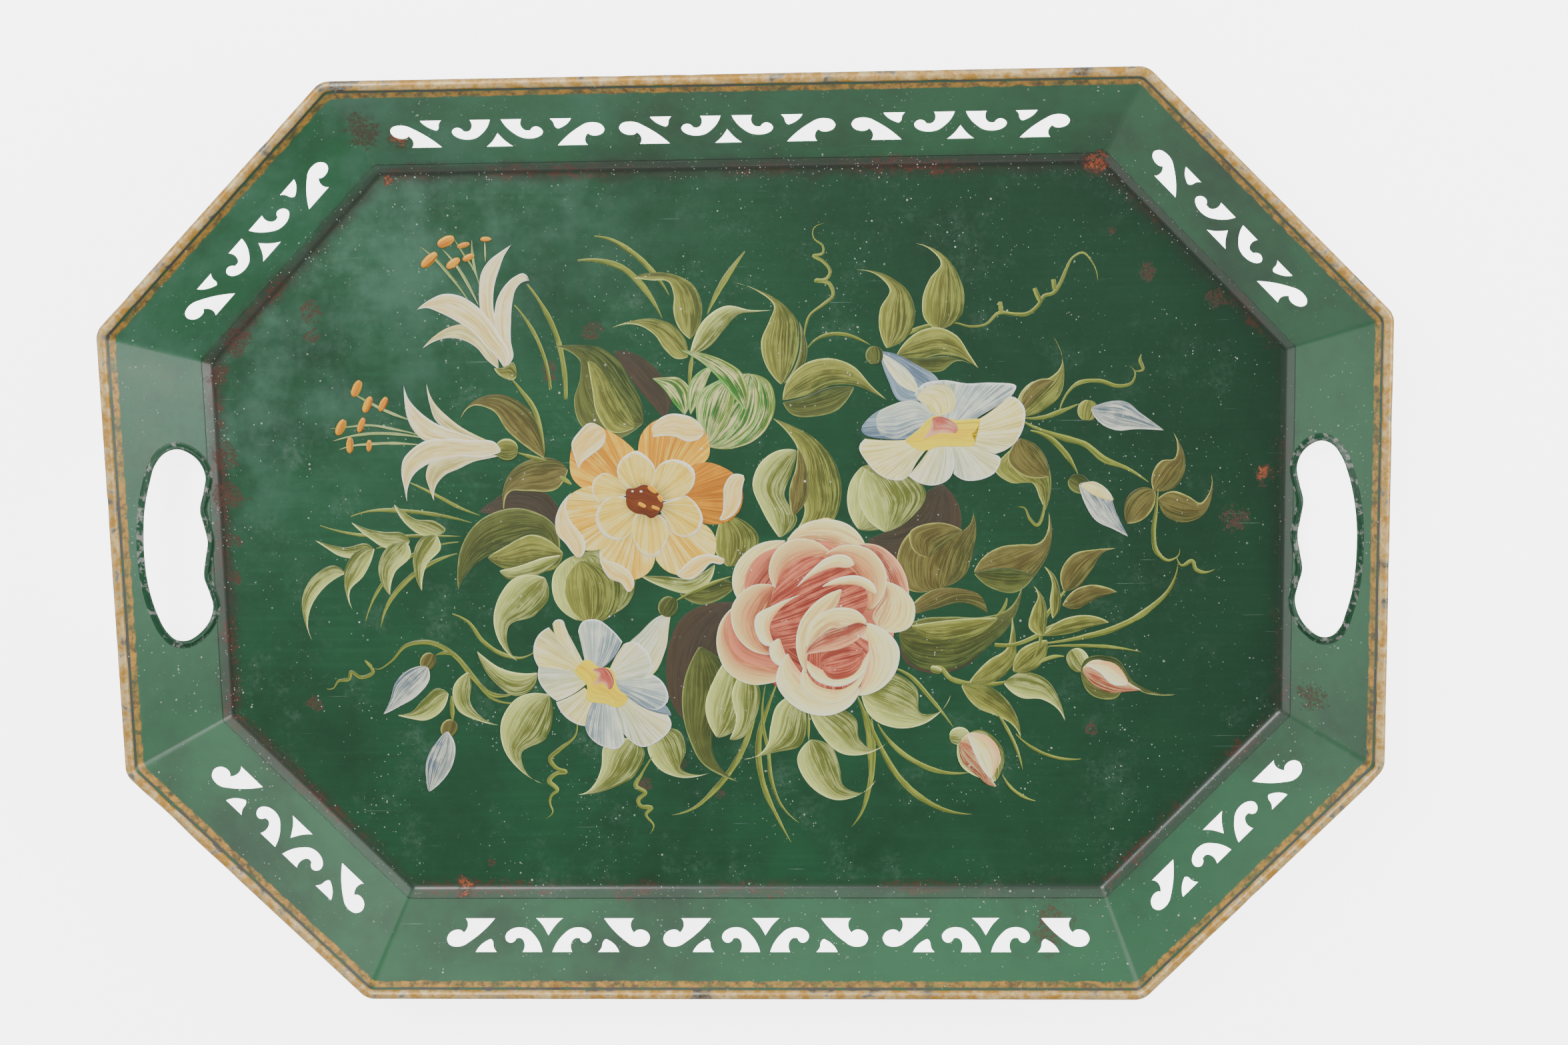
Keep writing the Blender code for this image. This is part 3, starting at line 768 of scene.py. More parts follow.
def stroke(side, other, tone, outer=None, root=None, lift=0.0, rimWidth=0.9, seed=None):
    # side and other: rails from root to tip; outer: points from the side's end to the other's end
    side, other = np.asarray(side, float), np.asarray(other, float)
    length = max(np.linalg.norm(np.diff(rail, axis=0), axis=1).sum() for rail in (side, other))
    chord = np.linalg.norm(through(side, 9) - through(other, 9), axis=1).max()
    wide = max(chord, np.linalg.norm(side[-1] - other[-1]), 0.8)
    rows, columns = int(np.clip(length / 1.1, 6, 70)) + 1, int(np.clip(wide / 0.9, 5, 42)) + 1
    u = np.linspace(0, 1, rows)
    v = 0.5 - 0.5 * np.cos(np.linspace(0, np.pi, columns))
    if outer is not None:
        u = np.sin(u * np.pi / 2)
    a, b = through(side, 201), through(other, 201)
    first, second = (np.stack([np.interp(u * 200, np.arange(201), rail[:, k]) for k in (0, 1)], -1) for rail in (a, b))
    cross = v[None, :, None]
    flat = first[:, None] * (1 - cross) + second[:, None] * cross
    ends = []
    for given, start, stop in ((root, side[0], other[0]), (outer, side[-1], other[-1])):
        line = start * (1 - v[:, None]) + stop * v[:, None]
        if given is None:
            ends.append(np.zeros_like(line))
            continue
        curve = through([start, *given, stop], 201)
        ends.append(np.stack([np.interp(v * 200, np.arange(201), curve[:, k]) for k in (0, 1)], -1) - line)
    flat = flat + (1 - u)[:, None, None] ** 2 * ends[0] + (u[:, None, None] ** 1.5) * ends[1]
    breadth = np.linalg.norm(first - second, axis=1)[:, None] + 0.01
    if outer is not None:
        across = np.linalg.norm(np.diff(flat, axis=1), axis=2).sum(axis=1)[:, None]
        breadth = np.maximum(breadth, across)
    fromSide, fromOther = v * breadth, (1 - v) * breadth
    fromTip = (1 - u)[:, None] * length * np.ones_like(fromSide)
    if seed is None:
        seed = abs(float(side[0, 0] * 1.7 + side[-1, 1] * 2.3)) % 97
    tint = tones[tone]
    half = v[None, :, None]
    colour = np.where(half < 0.5, tint["side"] + (tint["middle"] - tint["side"]) * half * 2,
                      tint["middle"] + (tint["other"] - tint["middle"]) * (half * 2 - 1))
    colour = np.broadcast_to(colour, (rows, columns, 3)).copy()
    if "root" in tint:
        deep = (1 - smooth(0.05, 0.55, u))[:, None, None]
        colour += (tint["root"] - colour) * deep * 0.75
    load = np.full((rows, columns), tint["load"])
    if "rim" in tint:
        near = {"s": fromSide, "o": fromOther, "r": fromTip}
        away = np.min([near[letter] for letter in tint["at"]], axis=0)
        uneven = 1 + 0.35 * waves(flat[..., 0], flat[..., 1], 9, 21)
        edge = (1 - smooth(0.35, 1.0, away / (rimWidth * uneven)))[..., None]
        colour += (tint["rim"] - colour) * edge * 0.9
        load = load * (1 - 0.7 * edge[..., 0])
    body = 1 - (1 - np.clip(fromSide, 0, 1)) * 0.4 - (1 - np.clip(fromOther, 0, 1)) * 0.3
    height = floorHeight(flat[..., 0], flat[..., 1]) + lift + 0.006 * body
    height[0, :] = height[-1, :] = 0.5  # the border dips into the sheet
    height[:, 0] = height[:, -1] = 0.5
    points = np.concatenate([flat, height[..., None]], axis=-1)
    along = np.broadcast_to(u[:, None] * length, (rows, columns))
    place = np.stack([along, (v - 0.5) * min(wide, 60) * np.ones((rows, 1)), np.full((rows, columns), seed)], -1)
    ring = np.concatenate([flat[:, 0], flat[-1, 1:], flat[-2::-1, -1], flat[0, -2:0:-1]])
    area = (ring[:, 0] * np.roll(ring[:, 1], -1) - np.roll(ring[:, 0], -1) * ring[:, 1]).sum()
    faces = gridFaces(rows, columns)
    pointed = smooth(-0.10, 0.16, 1 - u) if outer is None else 1
    thin = (pointed * smooth(-0.25, 0.12, u))[:, None]
    if tint.get("soft"):
        thin = thin * smooth(-0.5, 5.0, fromSide) * smooth(-0.5, 5.0, fromOther) * smooth(-1, 7, fromTip)
    cover = thin * smooth(-0.9, 0.25, fromSide) * smooth(-0.9, 0.25, fromOther)
    alpha = (cover * np.ones((rows, columns)))[..., None]
    return dict(points=points.reshape(-1, 3), faces=faces if area > 0 else faces[:, ::-1],
                stroke=place.reshape(-1, 3), tint=np.concatenate([colour, alpha], -1).reshape(-1, 4),
                hair=np.concatenate([np.broadcast_to(tint["hair"], (rows, columns, 3)), load[..., None]],
                                    -1).reshape(-1, 4))


def leaf(root, tip, side, other, tone="leaf", **more):
    # a pointed shape: both rails run from the root to the tip
    return stroke([root, *side, tip], [root, *other, tip], tone, **more)


def ribbon(path, width, tone="stem", taper=(0.22, 0.12), **more):
    # a line of the brush: the path moved half the width to each side, thinning towards its ends
    spine = through(path, max(12, int(len(path) * 7)))
    tangent = np.gradient(spine, axis=0)
    tangent /= np.linalg.norm(tangent, axis=1, keepdims=True)
    t = np.linspace(0, 1, len(spine))[:, None]
    swell = np.minimum(1, taper[0] + (1 - taper[0]) * t * 3) * np.minimum(1, taper[1] + (1 - taper[1]) * (1 - t) * 3)
    swell = swell * (1 + 0.10 * waves(spine[:, :1], spine[:, 1:], 14, 31))
    offset = np.stack([-tangent[:, 1], tangent[:, 0]], -1) * width / 2 * swell
    return stroke(spine + offset, spine - offset, tone, **more)


def blob(outline, tone, **more):
    # a closed patch from its outline: the first half of the points is one rail, the rest the other
    half = len(outline) // 2 + 1
    return stroke(outline[:half], [outline[0], *outline[:half - 2:-1]], tone, **more)


def dab(x, y, long, wide, turn, tone, **more):
    # an egg of paint at a place, turned by degrees
    angle = np.radians([0, 40, 80, 120, 160, 180])
    c, s = math.cos(math.radians(turn)), math.sin(math.radians(turn))
    def place(sign):
        px, py = -np.cos(angle) * long / 2, sign * np.sin(angle) ** 0.8 * wide / 2
        return np.stack([x + px * c - py * s, y + px * s + py * c], -1)
    return stroke(place(1), place(-1), tone, **more)


def makeBrushwork():
    # bristle streaks run along each stroke: noise stretched along it mixes the hair colour into the tint
    paint = Paint("brushwork", roughness=0.42, coat=0.25, coatRoughness=0.25)
    place = paint.node("ShaderNodeAttribute", {"attribute_name": "stroke"}, {}, "Vector")
    tint = paint.node("ShaderNodeAttribute", {"attribute_name": "tint"}, {}, "Color")
    cover = paint.node("ShaderNodeAttribute", {"attribute_name": "tint"}, {}, "Alpha")
    hair = paint.node("ShaderNodeAttribute", {"attribute_name": "hair"}, {}, "Color")
    load = paint.node("ShaderNodeAttribute", {"attribute_name": "hair"}, {}, "Alpha")
    coarse = paint.noise(1, 2, 0.5, paint.stretched(place, (0.035, 0.75, 3.1)))
    thin = paint.noise(1, 2, 0.6, paint.stretched(place, (0.06, 2.6, 5.3)))
    patch = paint.noise(9, 3, 0.6)
    streak = paint.step(coarse * 0.45 + thin * 0.55 + (patch - 0.5) * 0.25, 0.46, 0.58)
    dark = paint.step(coarse * 0.45 + thin * 0.55, 0.47, 0.38)
    colour = paint.mix(tint, hair, streak * load)
    colour = paint.mix(colour, (0.36, 0.38, 0.26), dark * load * 0.65, "MULTIPLY")
    under = paint.mix(enamel["ground"], enamel["far"], farShade(paint, paint.noise(90, 4, 0.6)))
    laid = paint.step(cover + (coarse * 0.5 + thin * 0.5 - 0.5) * 1.3, 0.30, 0.62)
    colour = paint.mix(under, colour, laid * 0.97)
    fleck = paint.dots(1.3, 0.06, 5.0).over(paint.dots(2.2, 0.04, 9.0)) * paint.step(paint.noise(18, 3), 0.45, 0.6)
    colour = paint.mix(colour, srgb("#e4e6da"), fleck * 0.75)
    worn = paint.step(paint.noise(2.6, 4, 0.75), 0.75, 0.78)
    colour = paint.mix(colour, srgb("#5a4a30"), worn * 0.35)
    paint.finish(colour, 0.36 + thin * 0.2, coarse * 0.05 + thin * 0.07, 1.0)
    return paint.material


brushwork = makeBrushwork()
painted = []


def paintPiece(name, strokes, base=0.05, step=0.010):
    # joins strokes into one piece, each a little higher than the one before
    points, faces, count = [], [], 0
    for order, one in enumerate(strokes):
        raised = one["points"].copy()
        inside = raised[:, 2] > 0.56
        raised[inside, 2] += base + step * order
        points.append(raised)
        faces.append(one["faces"] + count)
        count += len(raised)
    layers = {key: np.concatenate([one[key] for one in strokes]) for key in ("stroke", "tint", "hair")}
    piece = meshObject(name, np.concatenate(points), np.concatenate(faces), brushwork, layers)
    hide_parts("tray_pan")
    painted.append(piece)
    return piece


paintPiece("lily_upper", [
    ribbon([(-119.5, 84), (-114, 76.5), (-109, 69), (-105.3, 56), (-104, 44)], 2.8),
    ribbon([(-140.5, 125), (-145, 132), (-150.4, 139), (-156.5, 146.2), (-164.5, 153)], 1.5, "filament"),
    ribbon([(-135, 122), (-139, 130.7), (-143.4, 139), (-148.5, 146.5), (-153, 151.5)], 1.6, "filament"),
    ribbon([(-134, 132), (-137, 141), (-141.7, 148.5), (-146.2, 156.2)], 1.1, "filament"),
    ribbon([(-134.5, 134), (-136.8, 145), (-137, 155.8)], 1.3, "filament"),
    ribbon([(-130.5, 144), (-130.5, 155)], 0.9, "filament"),
    blob([(-128.4, 89.5), (-126.4, 86.3), (-122.5, 83.8), (-119, 83), (-116.6, 85.3), (-116.8, 89), (-118.2, 92.5),
          (-123, 90)], "leaf"),
    leaf((-126, 89), (-165.5, 99.5), [(-131.8, 93.5), (-137, 100), (-143, 103.7), (-150, 105.2), (-159.5, 103.2)],
         [(-127, 97), (-136, 107), (-144, 112.3), (-149.6, 111.4), (-157.3, 107.4)], "lilyShade"),
    leaf((-124, 92), (-116.5, 153), [(-128, 105), (-134.2, 119), (-134.5, 130), (-132.8, 139), (-128.9, 144.6),
         (-122.5, 149.3)], [(-124, 102), (-127.4, 121), (-126.5, 131.4), (-123.7, 140), (-120.5, 147.6)], "lily"),
    leaf((-122, 90), (-108, 134), [(-118.3, 94.5), (-119, 103), (-118.6, 113), (-117.5, 123), (-115.2, 130.3),
         (-111.8, 133.6)], [(-124.5, 99), (-127.2, 117), (-124.7, 126.5), (-120.5, 132.6), (-115.8, 136.5),
         (-111.2, 138)], "lily"),
    leaf((-123, 89.5), (-167.5, 119.7), [(-127.5, 96), (-131.5, 100), (-139, 108.4), (-146.7, 113.8), (-155, 118.3),
         (-162.5, 121)], [(-120, 96), (-125, 107), (-131.4, 117), (-138, 123.2), (-144, 126.8), (-153, 128),
         (-160.5, 125)], "lily"),
    dab(-159.5, 145.5, 11, 5, 42, "anther"), dab(-150.5, 154.8, 9.6, 5.4, 25, "anther"),
    dab(-141.6, 152.8, 7, 3, 14, "anther"), dab(-130, 155.7, 5.8, 2.8, 0, "anther"),
    dab(-147.2, 143.6, 8.4, 4.6, 35, "anther"), dab(-139.2, 146.5, 6.8, 3.6, 24, "anther"),
], 0.40)
paintPiece("lily_left", [
    ribbon([(-118, 45.3), (-110, 42.6), (-102, 41)], 2.2),
    ribbon([(-170, 62), (-182.5, 66.5), (-192, 71.2), (-200.5, 76.2), (-204.5, 79)], 1.6, "filament"),
    ribbon([(-168, 55), (-181.5, 58.2), (-195, 60.5), (-206, 59.7), (-216.5, 58.7)], 1.3, "filament"),
    ribbon([(-164, 53), (-180, 55.6), (-195, 56), (-208, 54), (-215, 52)], 1.6, "filament"),
    ribbon([(-166, 49.5), (-180, 50.8), (-195, 50.6), (-205, 49.6), (-211.5, 47.5)], 1.6, "filament"),
    dab(-123.4, 46.8, 11.6, 11.8, 0, "leaf"),
    leaf((-127.5, 48), (-163.8, 82.5), [(-140, 51), (-152, 56), (-160.3, 63), (-162.6, 71)],
         [(-131, 50.6), (-137.3, 53.8), (-146, 58.6), (-153.7, 64.9), (-160.8, 73)], "lilyShade"),
    leaf((-127, 47.5), (-175.5, 82), [(-145, 50), (-160, 51), (-167.1, 52.6), (-171.9, 57.7), (-174.8, 65),
         (-175.6, 73)], [(-132, 49.6), (-141.2, 53.8), (-149.8, 56.9), (-160, 61.2), (-168, 67.3), (-174, 75)], "lily"),
    leaf((-127.5, 43.6), (-162.5, 20), [(-134, 42.2), (-140.2, 40.9), (-148.8, 37), (-156.5, 33.5), (-161.2, 28)],
         [(-140, 45), (-155, 43.5), (-164.2, 39.9), (-166.3, 33.6), (-164.7, 26.9)], "lilyShade"),
    leaf((-126, 46), (-176.5, 18.5), [(-136, 42.9), (-147, 43.4), (-156.5, 42), (-166.2, 38.9), (-172.9, 33.6),
         (-176, 27)], [(-128.5, 50), (-143, 52.2), (-155, 53), (-165.2, 52.2), (-172.4, 48.1), (-177.7, 42.3),
         (-179, 36), (-177.8, 27)], "lily"),
    dab(-200.3, 79.6, 9.6, 4.8, 64, "anther"), dab(-195, 71.2, 9.4, 4.5, 64, "anther"),
    dab(-186.8, 71.3, 8.6, 4.0, 62, "anther"), dab(-209.6, 59.4, 9.4, 4.8, 62, "anther"),
    dab(-198.8, 60.5, 8.6, 3.8, 68, "anther"), dab(-205.3, 50, 8.8, 4.0, 86, "anther"),
    dab(-195.2, 49.7, 6.6, 3.2, 84, "anther"),
], 0.40)
paintPiece("yellow_flower_outer", [
    stroke([(-60, 22), (-72, 24), (-84, 26)], [(-57, 24), (-56.5, 36), (-57.2, 46)], "ochre",
           outer=[(-90, 32), (-91, 40), (-88.5, 50), (-80, 58.8), (-73, 57.5), (-64, 52.3)]),
    stroke([(-52, 28), (-54.5, 38), (-55, 46)], [(-38, 24), (-30, 33), (-22, 38.5)], "ochre",
           outer=[(-53.3, 54), (-48, 60), (-40, 63), (-30, 62.5), (-22, 57.5), (-18.2, 49), (-19, 41.5)]),
    stroke([(-44, 22), (-34, 32), (-26, 38.3)], [(-42, 18), (-30, 10), (-21, 7)], "orange",
           outer=[(-20, 39.2), (-12, 36.8), (-5, 32), (-1.5, 23), (-3.5, 13.5), (-11, 7.5)]),
    stroke([(-50, 10), (-48.5, -3), (-47.5, -12)], [(-42, 14), (-30, 10), (-21, 6)], "straw",
           outer=[(-43, -17.5), (-36, -20.3), (-27, -19), (-19.5, -14), (-16.2, -7), (-17, 1)]),
    stroke([(-62, 12), (-70, 0), (-76.5, -6)], [(-50, 8), (-48.5, -2), (-47.6, -9)], "straw",
           outer=[(-75, -14), (-68, -20), (-59, -22.5), (-52, -19)]),
    stroke([(-62, 20), (-72, 24), (-80, 27.5)], [(-60, 12), (-66, 3), (-69.5, -2.5)], "straw",
           outer=[(-88, 25), (-95.5, 18.5), (-99, 9), (-98, 2), (-91, -4.5), (-84, -6.8), (-76, -6)]),
    stroke([(-71.8, 52.5), (-73.5, 48.4), (-79.5, 43.5), (-84.8, 39.3), (-86.3, 36)],
           [(-74, 58.2), (-80, 60.4), (-85.5, 56), (-89.8, 49), (-88.6, 44), (-86.3, 36)], "turned",
           outer=None, root=[(-71.4, 56)]),
    stroke([(-48, 52.3), (-41.8, 53.2), (-35.8, 52.6), (-29.2, 50), (-23.2, 51.6), (-20.5, 55.5)],
           [(-48.2, 56), (-44, 62), (-38, 64.6), (-32, 64.3), (-25.5, 61.8), (-20.5, 55.5)], "turned"),
    stroke([(-0.6, 32), (-7, 32.6), (-11, 27.4), (-11.8, 19), (-12.3, 13), (-14.7, 8.6)],
           [(-0.4, 30.5), (-1.8, 25), (-2.6, 18), (-6, 11.9), (-10, 9.4), (-14.7, 8.6)], "turned"),
    stroke([(-37, -20.3), (-32, -14), (-27, -10.4), (-21.5, -9.2), (-14.9, -10.4), (-11.3, -12.6)],
           [(-37, -20.3), (-29, -22.6), (-23.7, -18.8), (-18.5, -14), (-13.5, -14.6), (-11.3, -12.6)], "turned"),
    stroke([(-76.8, -6), (-74.2, -11.6), (-68.7, -13.2), (-62.7, -16.8), (-59.3, -23), (-60, -27.5)],
           [(-76.8, -6), (-76, -15.5), (-72, -22), (-66.5, -24.2), (-62.3, -29), (-60, -27.5)], "turned"),
    stroke([(-90.5, 24), (-93.6, 15.5), (-91.3, 8.8), (-86.9, 3.4), (-84.1, -2.3), (-85, -8), (-88, -11)],
           [(-90.5, 24), (-97.3, 16), (-99.6, 9), (-99, 2.3), (-94.6, -3), (-91, -8), (-88, -11)], "turned"),
], 0.38)
paintPiece("yellow_flower_inner", [
    stroke([(-60, 23), (-66, 21), (-73, 20), (-76.5, 18.3)], [(-58, 24), (-62, 28), (-67, 31.5)], "cream",
           outer=[(-79.4, 23), (-79.2, 29.8), (-73.5, 34.2)]),
    stroke([(-58, 24), (-62, 27), (-66, 31.5)], [(-50, 26), (-48, 28.5), (-47, 32)], "cream",
           outer=[(-66.2, 38), (-61.3, 44), (-56, 45.8), (-50.2, 42.2), (-46.7, 36.4)]),
    stroke([(-50, 26), (-48, 29), (-47.2, 33.5)], [(-44, 19), (-38, 19.6), (-32, 21.8)], "cream",
           outer=[(-44.4, 38.3), (-39, 41), (-32, 40.2), (-26.2, 35.2), (-26.4, 28.5)]),
    stroke([(-60, 20), (-64, 21.6), (-69, 21.5)], [(-54, 13), (-56, 7), (-60, 2.8)], "cream",
           outer=[(-75.5, 17.8), (-78.7, 10.5), (-77, 4), (-72, -0.6), (-66, -1.4)]),
    stroke([(-56, 14), (-58.8, 9), (-59.4, 3)], [(-46, 12), (-42, 9), (-40.3, 3)], "cream",
           outer=[(-58.3, -3.6), (-53.4, -10), (-48.4, -11), (-43, -5)]),
    stroke([(-44, 18), (-37, 20), (-31, 22)], [(-45, 14), (-42, 10), (-40, 4.5)], "cream",
           outer=[(-25, 16.5), (-22.4, 8.5), (-24.8, 3), (-30.5, -0.2), (-37, 1.2)]),
    blob([(-62, 21), (-61.3, 25.8), (-57.5, 26.2), (-53, 28), (-48.8, 26.6), (-45.6, 23.6), (-43, 19), (-44, 14.6),
          (-46, 12), (-49.5, 10), (-53, 12), (-57, 12.6), (-61.5, 16)], "core"),
    dab(-48.3, 25.4, 6.4, 3.6, -38, "coreGold"), dab(-44.4, 20.6, 4.6, 2.8, -60, "coreGold"),
    dab(-54, 17.2, 5.2, 2.6, -30, "coreGold"), dab(-47, 15.6, 5.4, 2.2, -22, "coreGold"),
    dab(-58.7, 24.4, 1.3, 1.2, 0, "lily"), dab(-54.3, 24.3, 1.6, 1.3, 0, "lily"),
], 0.52)
paintPiece("shadow_leaves", [
    leaf((-41, 62), (-67, 97.5), [(-48, 70), (-56, 80), (-62, 90)], [(-37, 72), (-42, 85), (-50, 93), (-59, 97.3)],
         "shadow"),
    leaf((62, -2), (101, 27), [(76, -13), (96, -15), (109, -3), (110, 14)], [(74, 3), (86, 12), (94, 23)],
         "shadow"),
    leaf((79, -54), (125, -56), [(80, -66), (96, -74), (112, -70)], [(92, -60), (110, -59)], "shadow"),
    leaf((-6, -35), (-32, -102), [(-34, -42), (-44, -68), (-41, -90)], [(-8, -60), (-20, -90)], "shadow"),
    leaf((-100, -4), (-140, 14), [(-115, 8), (-128, 12)], [(-96, 12), (-104, 24), (-118, 27), (-132, 20)],
         "shadow"),
], 0.02)
paintPiece("leaves_top", [
    ribbon([(-75, 156.5), (-66, 154.6), (-56, 148.5), (-45, 138), (-36.5, 125)], 3.2),
    ribbon([(-84, 144), (-70, 143.5), (-60, 139.8), (-52, 132.5), (-45, 122.5), (-40.5, 113)], 3.8),
    ribbon([(2.8, 148.2), (-4, 139.5), (-11, 129), (-18, 115)], 3.4),
    ribbon([(33, 97.3), (37.6, 102), (44.5, 104.6), (52.6, 104.4), (59.5, 102), (66, 98.5)], 2.2),
    ribbon([(32, 95), (32, 106), (34.8, 114.6), (41, 119.5), (46.8, 124.5), (45, 130.6), (38, 132.4), (43, 132.6),
            (45.5, 136), (41.5, 142.4), (37, 144.8), (42, 146), (42, 150), (37.6, 153.5), (37, 157.5), (44.5, 161.3)],
           2.1),
    ribbon([(-110, 133), (-103, 122.5), (-96.3, 108.4), (-92.6, 92), (-92, 72)], 3.0, taper=(0.3, 0.8)),
    ribbon([(-117, 122.3), (-108, 109.3), (-102, 94), (-99.6, 76.7)], 2.2, taper=(0.3, 0.8)),
    leaf((-52, 60), (-98, 100), [(-74, 52), (-85, 60), (-87.5, 72), (-84, 84), (-84, 93), (-89, 97.5)],
         [(-52.5, 70), (-57.8, 82), (-64, 93), (-72, 99), (-84, 101)], "leafDark"),
    leaf((-56, 58), (-80, 93), [(-70, 56), (-76, 65), (-78, 78)], [(-60, 68), (-66, 80), (-73, 90)], "leaf"),
    leaf((-26.7, 103), (-56, 135), [(-33.5, 111), (-35, 118), (-34.6, 126), (-37, 132.5), (-46, 133.5)],
         [(-21, 112), (-20, 120), (-24.5, 131), (-33, 136), (-45, 137.6)], "leaf"),
    leaf((-28, 94), (-68.5, 108.6), [(-34, 93), (-40, 98), (-45, 105.5), (-53, 110.5)],
         [(-28.5, 101), (-35, 110.5), (-44, 113.8), (-57, 112.8)], "leaf"),
    leaf((-27, 95), (16, 117.6), [(-25, 103), (-19, 113.5), (-8, 120), (5, 117.6)],
         [(-17, 99), (-9, 108), (-1, 115.5), (8, 116.6)], "leafLight"),
    ribbon([(-25.6, 96), (-27, 88), (-28, 78)], 2.4),
    leaf((19.5, 79), (-5, 132), [(11, 91), (9.5, 101), (14, 112), (16.6, 119), (8, 127.4)],
         [(25, 87), (29, 100), (28.6, 111), (20, 121.5), (7, 128.6)], "leaf"),
    leaf((20.4, 79.5), (29, 112), [(27, 90), (29.5, 100)], [(30, 86), (33.4, 96), (31.5, 106)], "leafDark"),
    leaf((20, 71), (73.5, 70.5), [(22, 80), (32, 90), (45, 92.4), (56, 88.5), (66, 77.5)],
         [(33, 73.5), (46, 78.5), (58, 78), (67, 74)], "leaf"),
    leaf((20, 70), (57, 77.5), [(24, 64), (38, 62.5), (48, 65.5), (54, 72)], [(32, 73), (44, 77.5)], "leafDark"),
], 0.05)
paintPiece("leaves_bright", [
    leaf((-30.5, 64), (-47, 83.2), [(-36, 70), (-41, 77.5)], [(-27.6, 70), (-28, 78.5), (-33, 83.2), (-40.5, 83.6)],
         "bright"),
    leaf((-27.5, 64), (-15, 89.2), [(-29, 73), (-28, 80), (-23, 86)], [(-23, 71), (-19.5, 79), (-17.5, 84)],
         "bright"),
    leaf((2, 85), (-20, 47.6), [(-12, 82), (-23, 75), (-24.4, 61)], [(13, 81), (16, 67), (9, 53.6), (-8, 46)],
         "bright"),
    leaf((-6, 82), (-19.6, 48), [(-17, 78), (-22, 64)], [(-5, 70), (-11, 57)], "bright"),
    leaf((4, 83), (-15, 47), [(-1, 70), (-8, 55)], [(9, 72), (6, 58), (-4, 50)], "bright"),
    leaf((8, 82), (-8, 46.6), [(8, 70), (3, 57)], [(15.4, 70), (12, 57), (3, 49)], "bright"),
    leaf((1, 66), (-32.5, 97.6), [(-8, 76), (-14, 84), (-24, 93)], [(2.6, 76), (-1, 86), (-9, 91.6), (-21, 96)],
         "bright"),
], 0.28)
paintPiece("leaves_upper_right", [
    ribbon([(100.5, 107.5), (108, 109.6), (116, 107.7), (124, 108.6), (131, 114.5), (138, 113.8), (145, 113.8),
            (151, 118.5), (153.5, 122.8), (158, 124), (162, 129.5), (164.5, 135.5), (168, 142), (173, 144.5),
            (177.5, 140), (180.7, 129)], 2.2),
    ribbon([(132, 114), (131.3, 121)], 2.8, taper=(0.6, 0.9)), ribbon([(152, 119), (148.4, 127.6)], 2.8,
                                                                      taper=(0.6, 0.9)),
    ribbon([(159, 125), (158.2, 132)], 2.8, taper=(0.6, 0.9)),
    ribbon([(73, 97.5), (80, 102), (87.4, 106), (97, 109)], 2.4, taper=(0.8, 0.8)),
    ribbon([(161, 62), (163, 69), (170, 77.5), (182, 79), (191, 76.2), (198, 78), (199.6, 83), (196, 87)], 2.4),
    ribbon([(199, 84), (203.5, 84.5), (202, 90), (203, 93)], 2.0),
    ribbon([(142, 60.5), (152, 60.4), (163, 64), (172, 67.8)], 2.6),
    ribbon([(142, 59), (152, 54), (163, 50), (174, 46.5), (184, 38.5), (196, 33.5), (207, 26)], 3.6),
    ribbon([(146, 54), (156, 50), (164, 42), (171, 30)], 3.0),
    leaf((73.6, 97), (57.5, 137.4), [(70, 107), (70.6, 117.5), (75.5, 127), (70.5, 133.6)],
         [(86, 105), (88.4, 116), (85, 126), (76, 133.5)], "leaf"),
    leaf((100, 106), (87.2, 150.6), [(93, 112), (92, 121.5), (96, 132.5), (101.6, 140), (96.5, 147)],
         [(111.5, 113), (113.4, 123), (110, 135), (101, 145.8)], "leaf"),
    leaf((78.5, 93.5), (120.5, 86), [(82, 99), (90, 105.6), (100, 107.6), (109, 103.4), (116, 93)],
         [(90, 91.2), (101, 93.4), (110, 92)], "leaf"),
    leaf((79, 92.6), (118, 87.6), [(86, 88.5), (94, 84.8), (101.5, 85), (109, 90)], [(92, 92), (104, 93)],
         "leafDark"),
    leaf((141.5, 60.5), (157.5, 103), [(140, 70), (147, 78.8), (155, 80.4), (161, 85)],
         [(154, 64.5), (161.5, 71.5), (163.8, 84), (161, 96.5)], "leaf"),
    leaf((141, 62), (159, 80), [(142, 72), (149, 79.6)], [(150, 70), (156, 76)], "leafBrown"),
    dab(175.6, 64, 10.5, 10.6, 80, "leaf"), dab(171, 26, 11, 10, 150, "leafDark"),
    leaf((209, 22), (216.5, 55), [(208.5, 31), (213, 37.6), (219.5, 38.6), (221, 46)],
         [(219, 23), (224.6, 30.5), (224.8, 40), (221, 49)], "leafBrown"),
    leaf((210, 22), (195.5, 5), [(208.5, 12), (203, 6.5)], [(204, 24), (196.5, 20), (194, 11)], "leafBrown"),
    leaf((211.5, 18), (238, 32), [(219, 21.8), (227, 19), (233, 15.5), (237.5, 21)],
         [(215, 9), (226, 5.2), (234.5, 9), (239, 20)], "leafBrown"),
    ribbon([(211.5, 24), (210.5, 12), (209.3, 0), (211, -10), (217, -14.6), (222, -12), (222.8, -8)], 2.5),
    ribbon([(221, -12), (224, -17.5), (229, -15), (231, -19.5), (235, -21), (241, -19)], 2.2),
], 0.05)
paintPiece("bud_far_right", [
    leaf((177, 65), (214.5, 53.2), [(183, 56.5), (190, 53.5), (200, 54)], [(184, 68), (194, 68.6), (203, 62)],
         "bud"),
    leaf((171, 26), (196.5, -2), [(174, 16), (180, 6.5), (189, 2)], [(178, 27), (186, 21), (190.5, 10)], "bud"),
    leaf((171.4, 25.6), (189, 17), [(175, 22)], [(178, 27.2), (185, 23.6)], "whiteWarm"),
], 0.40)
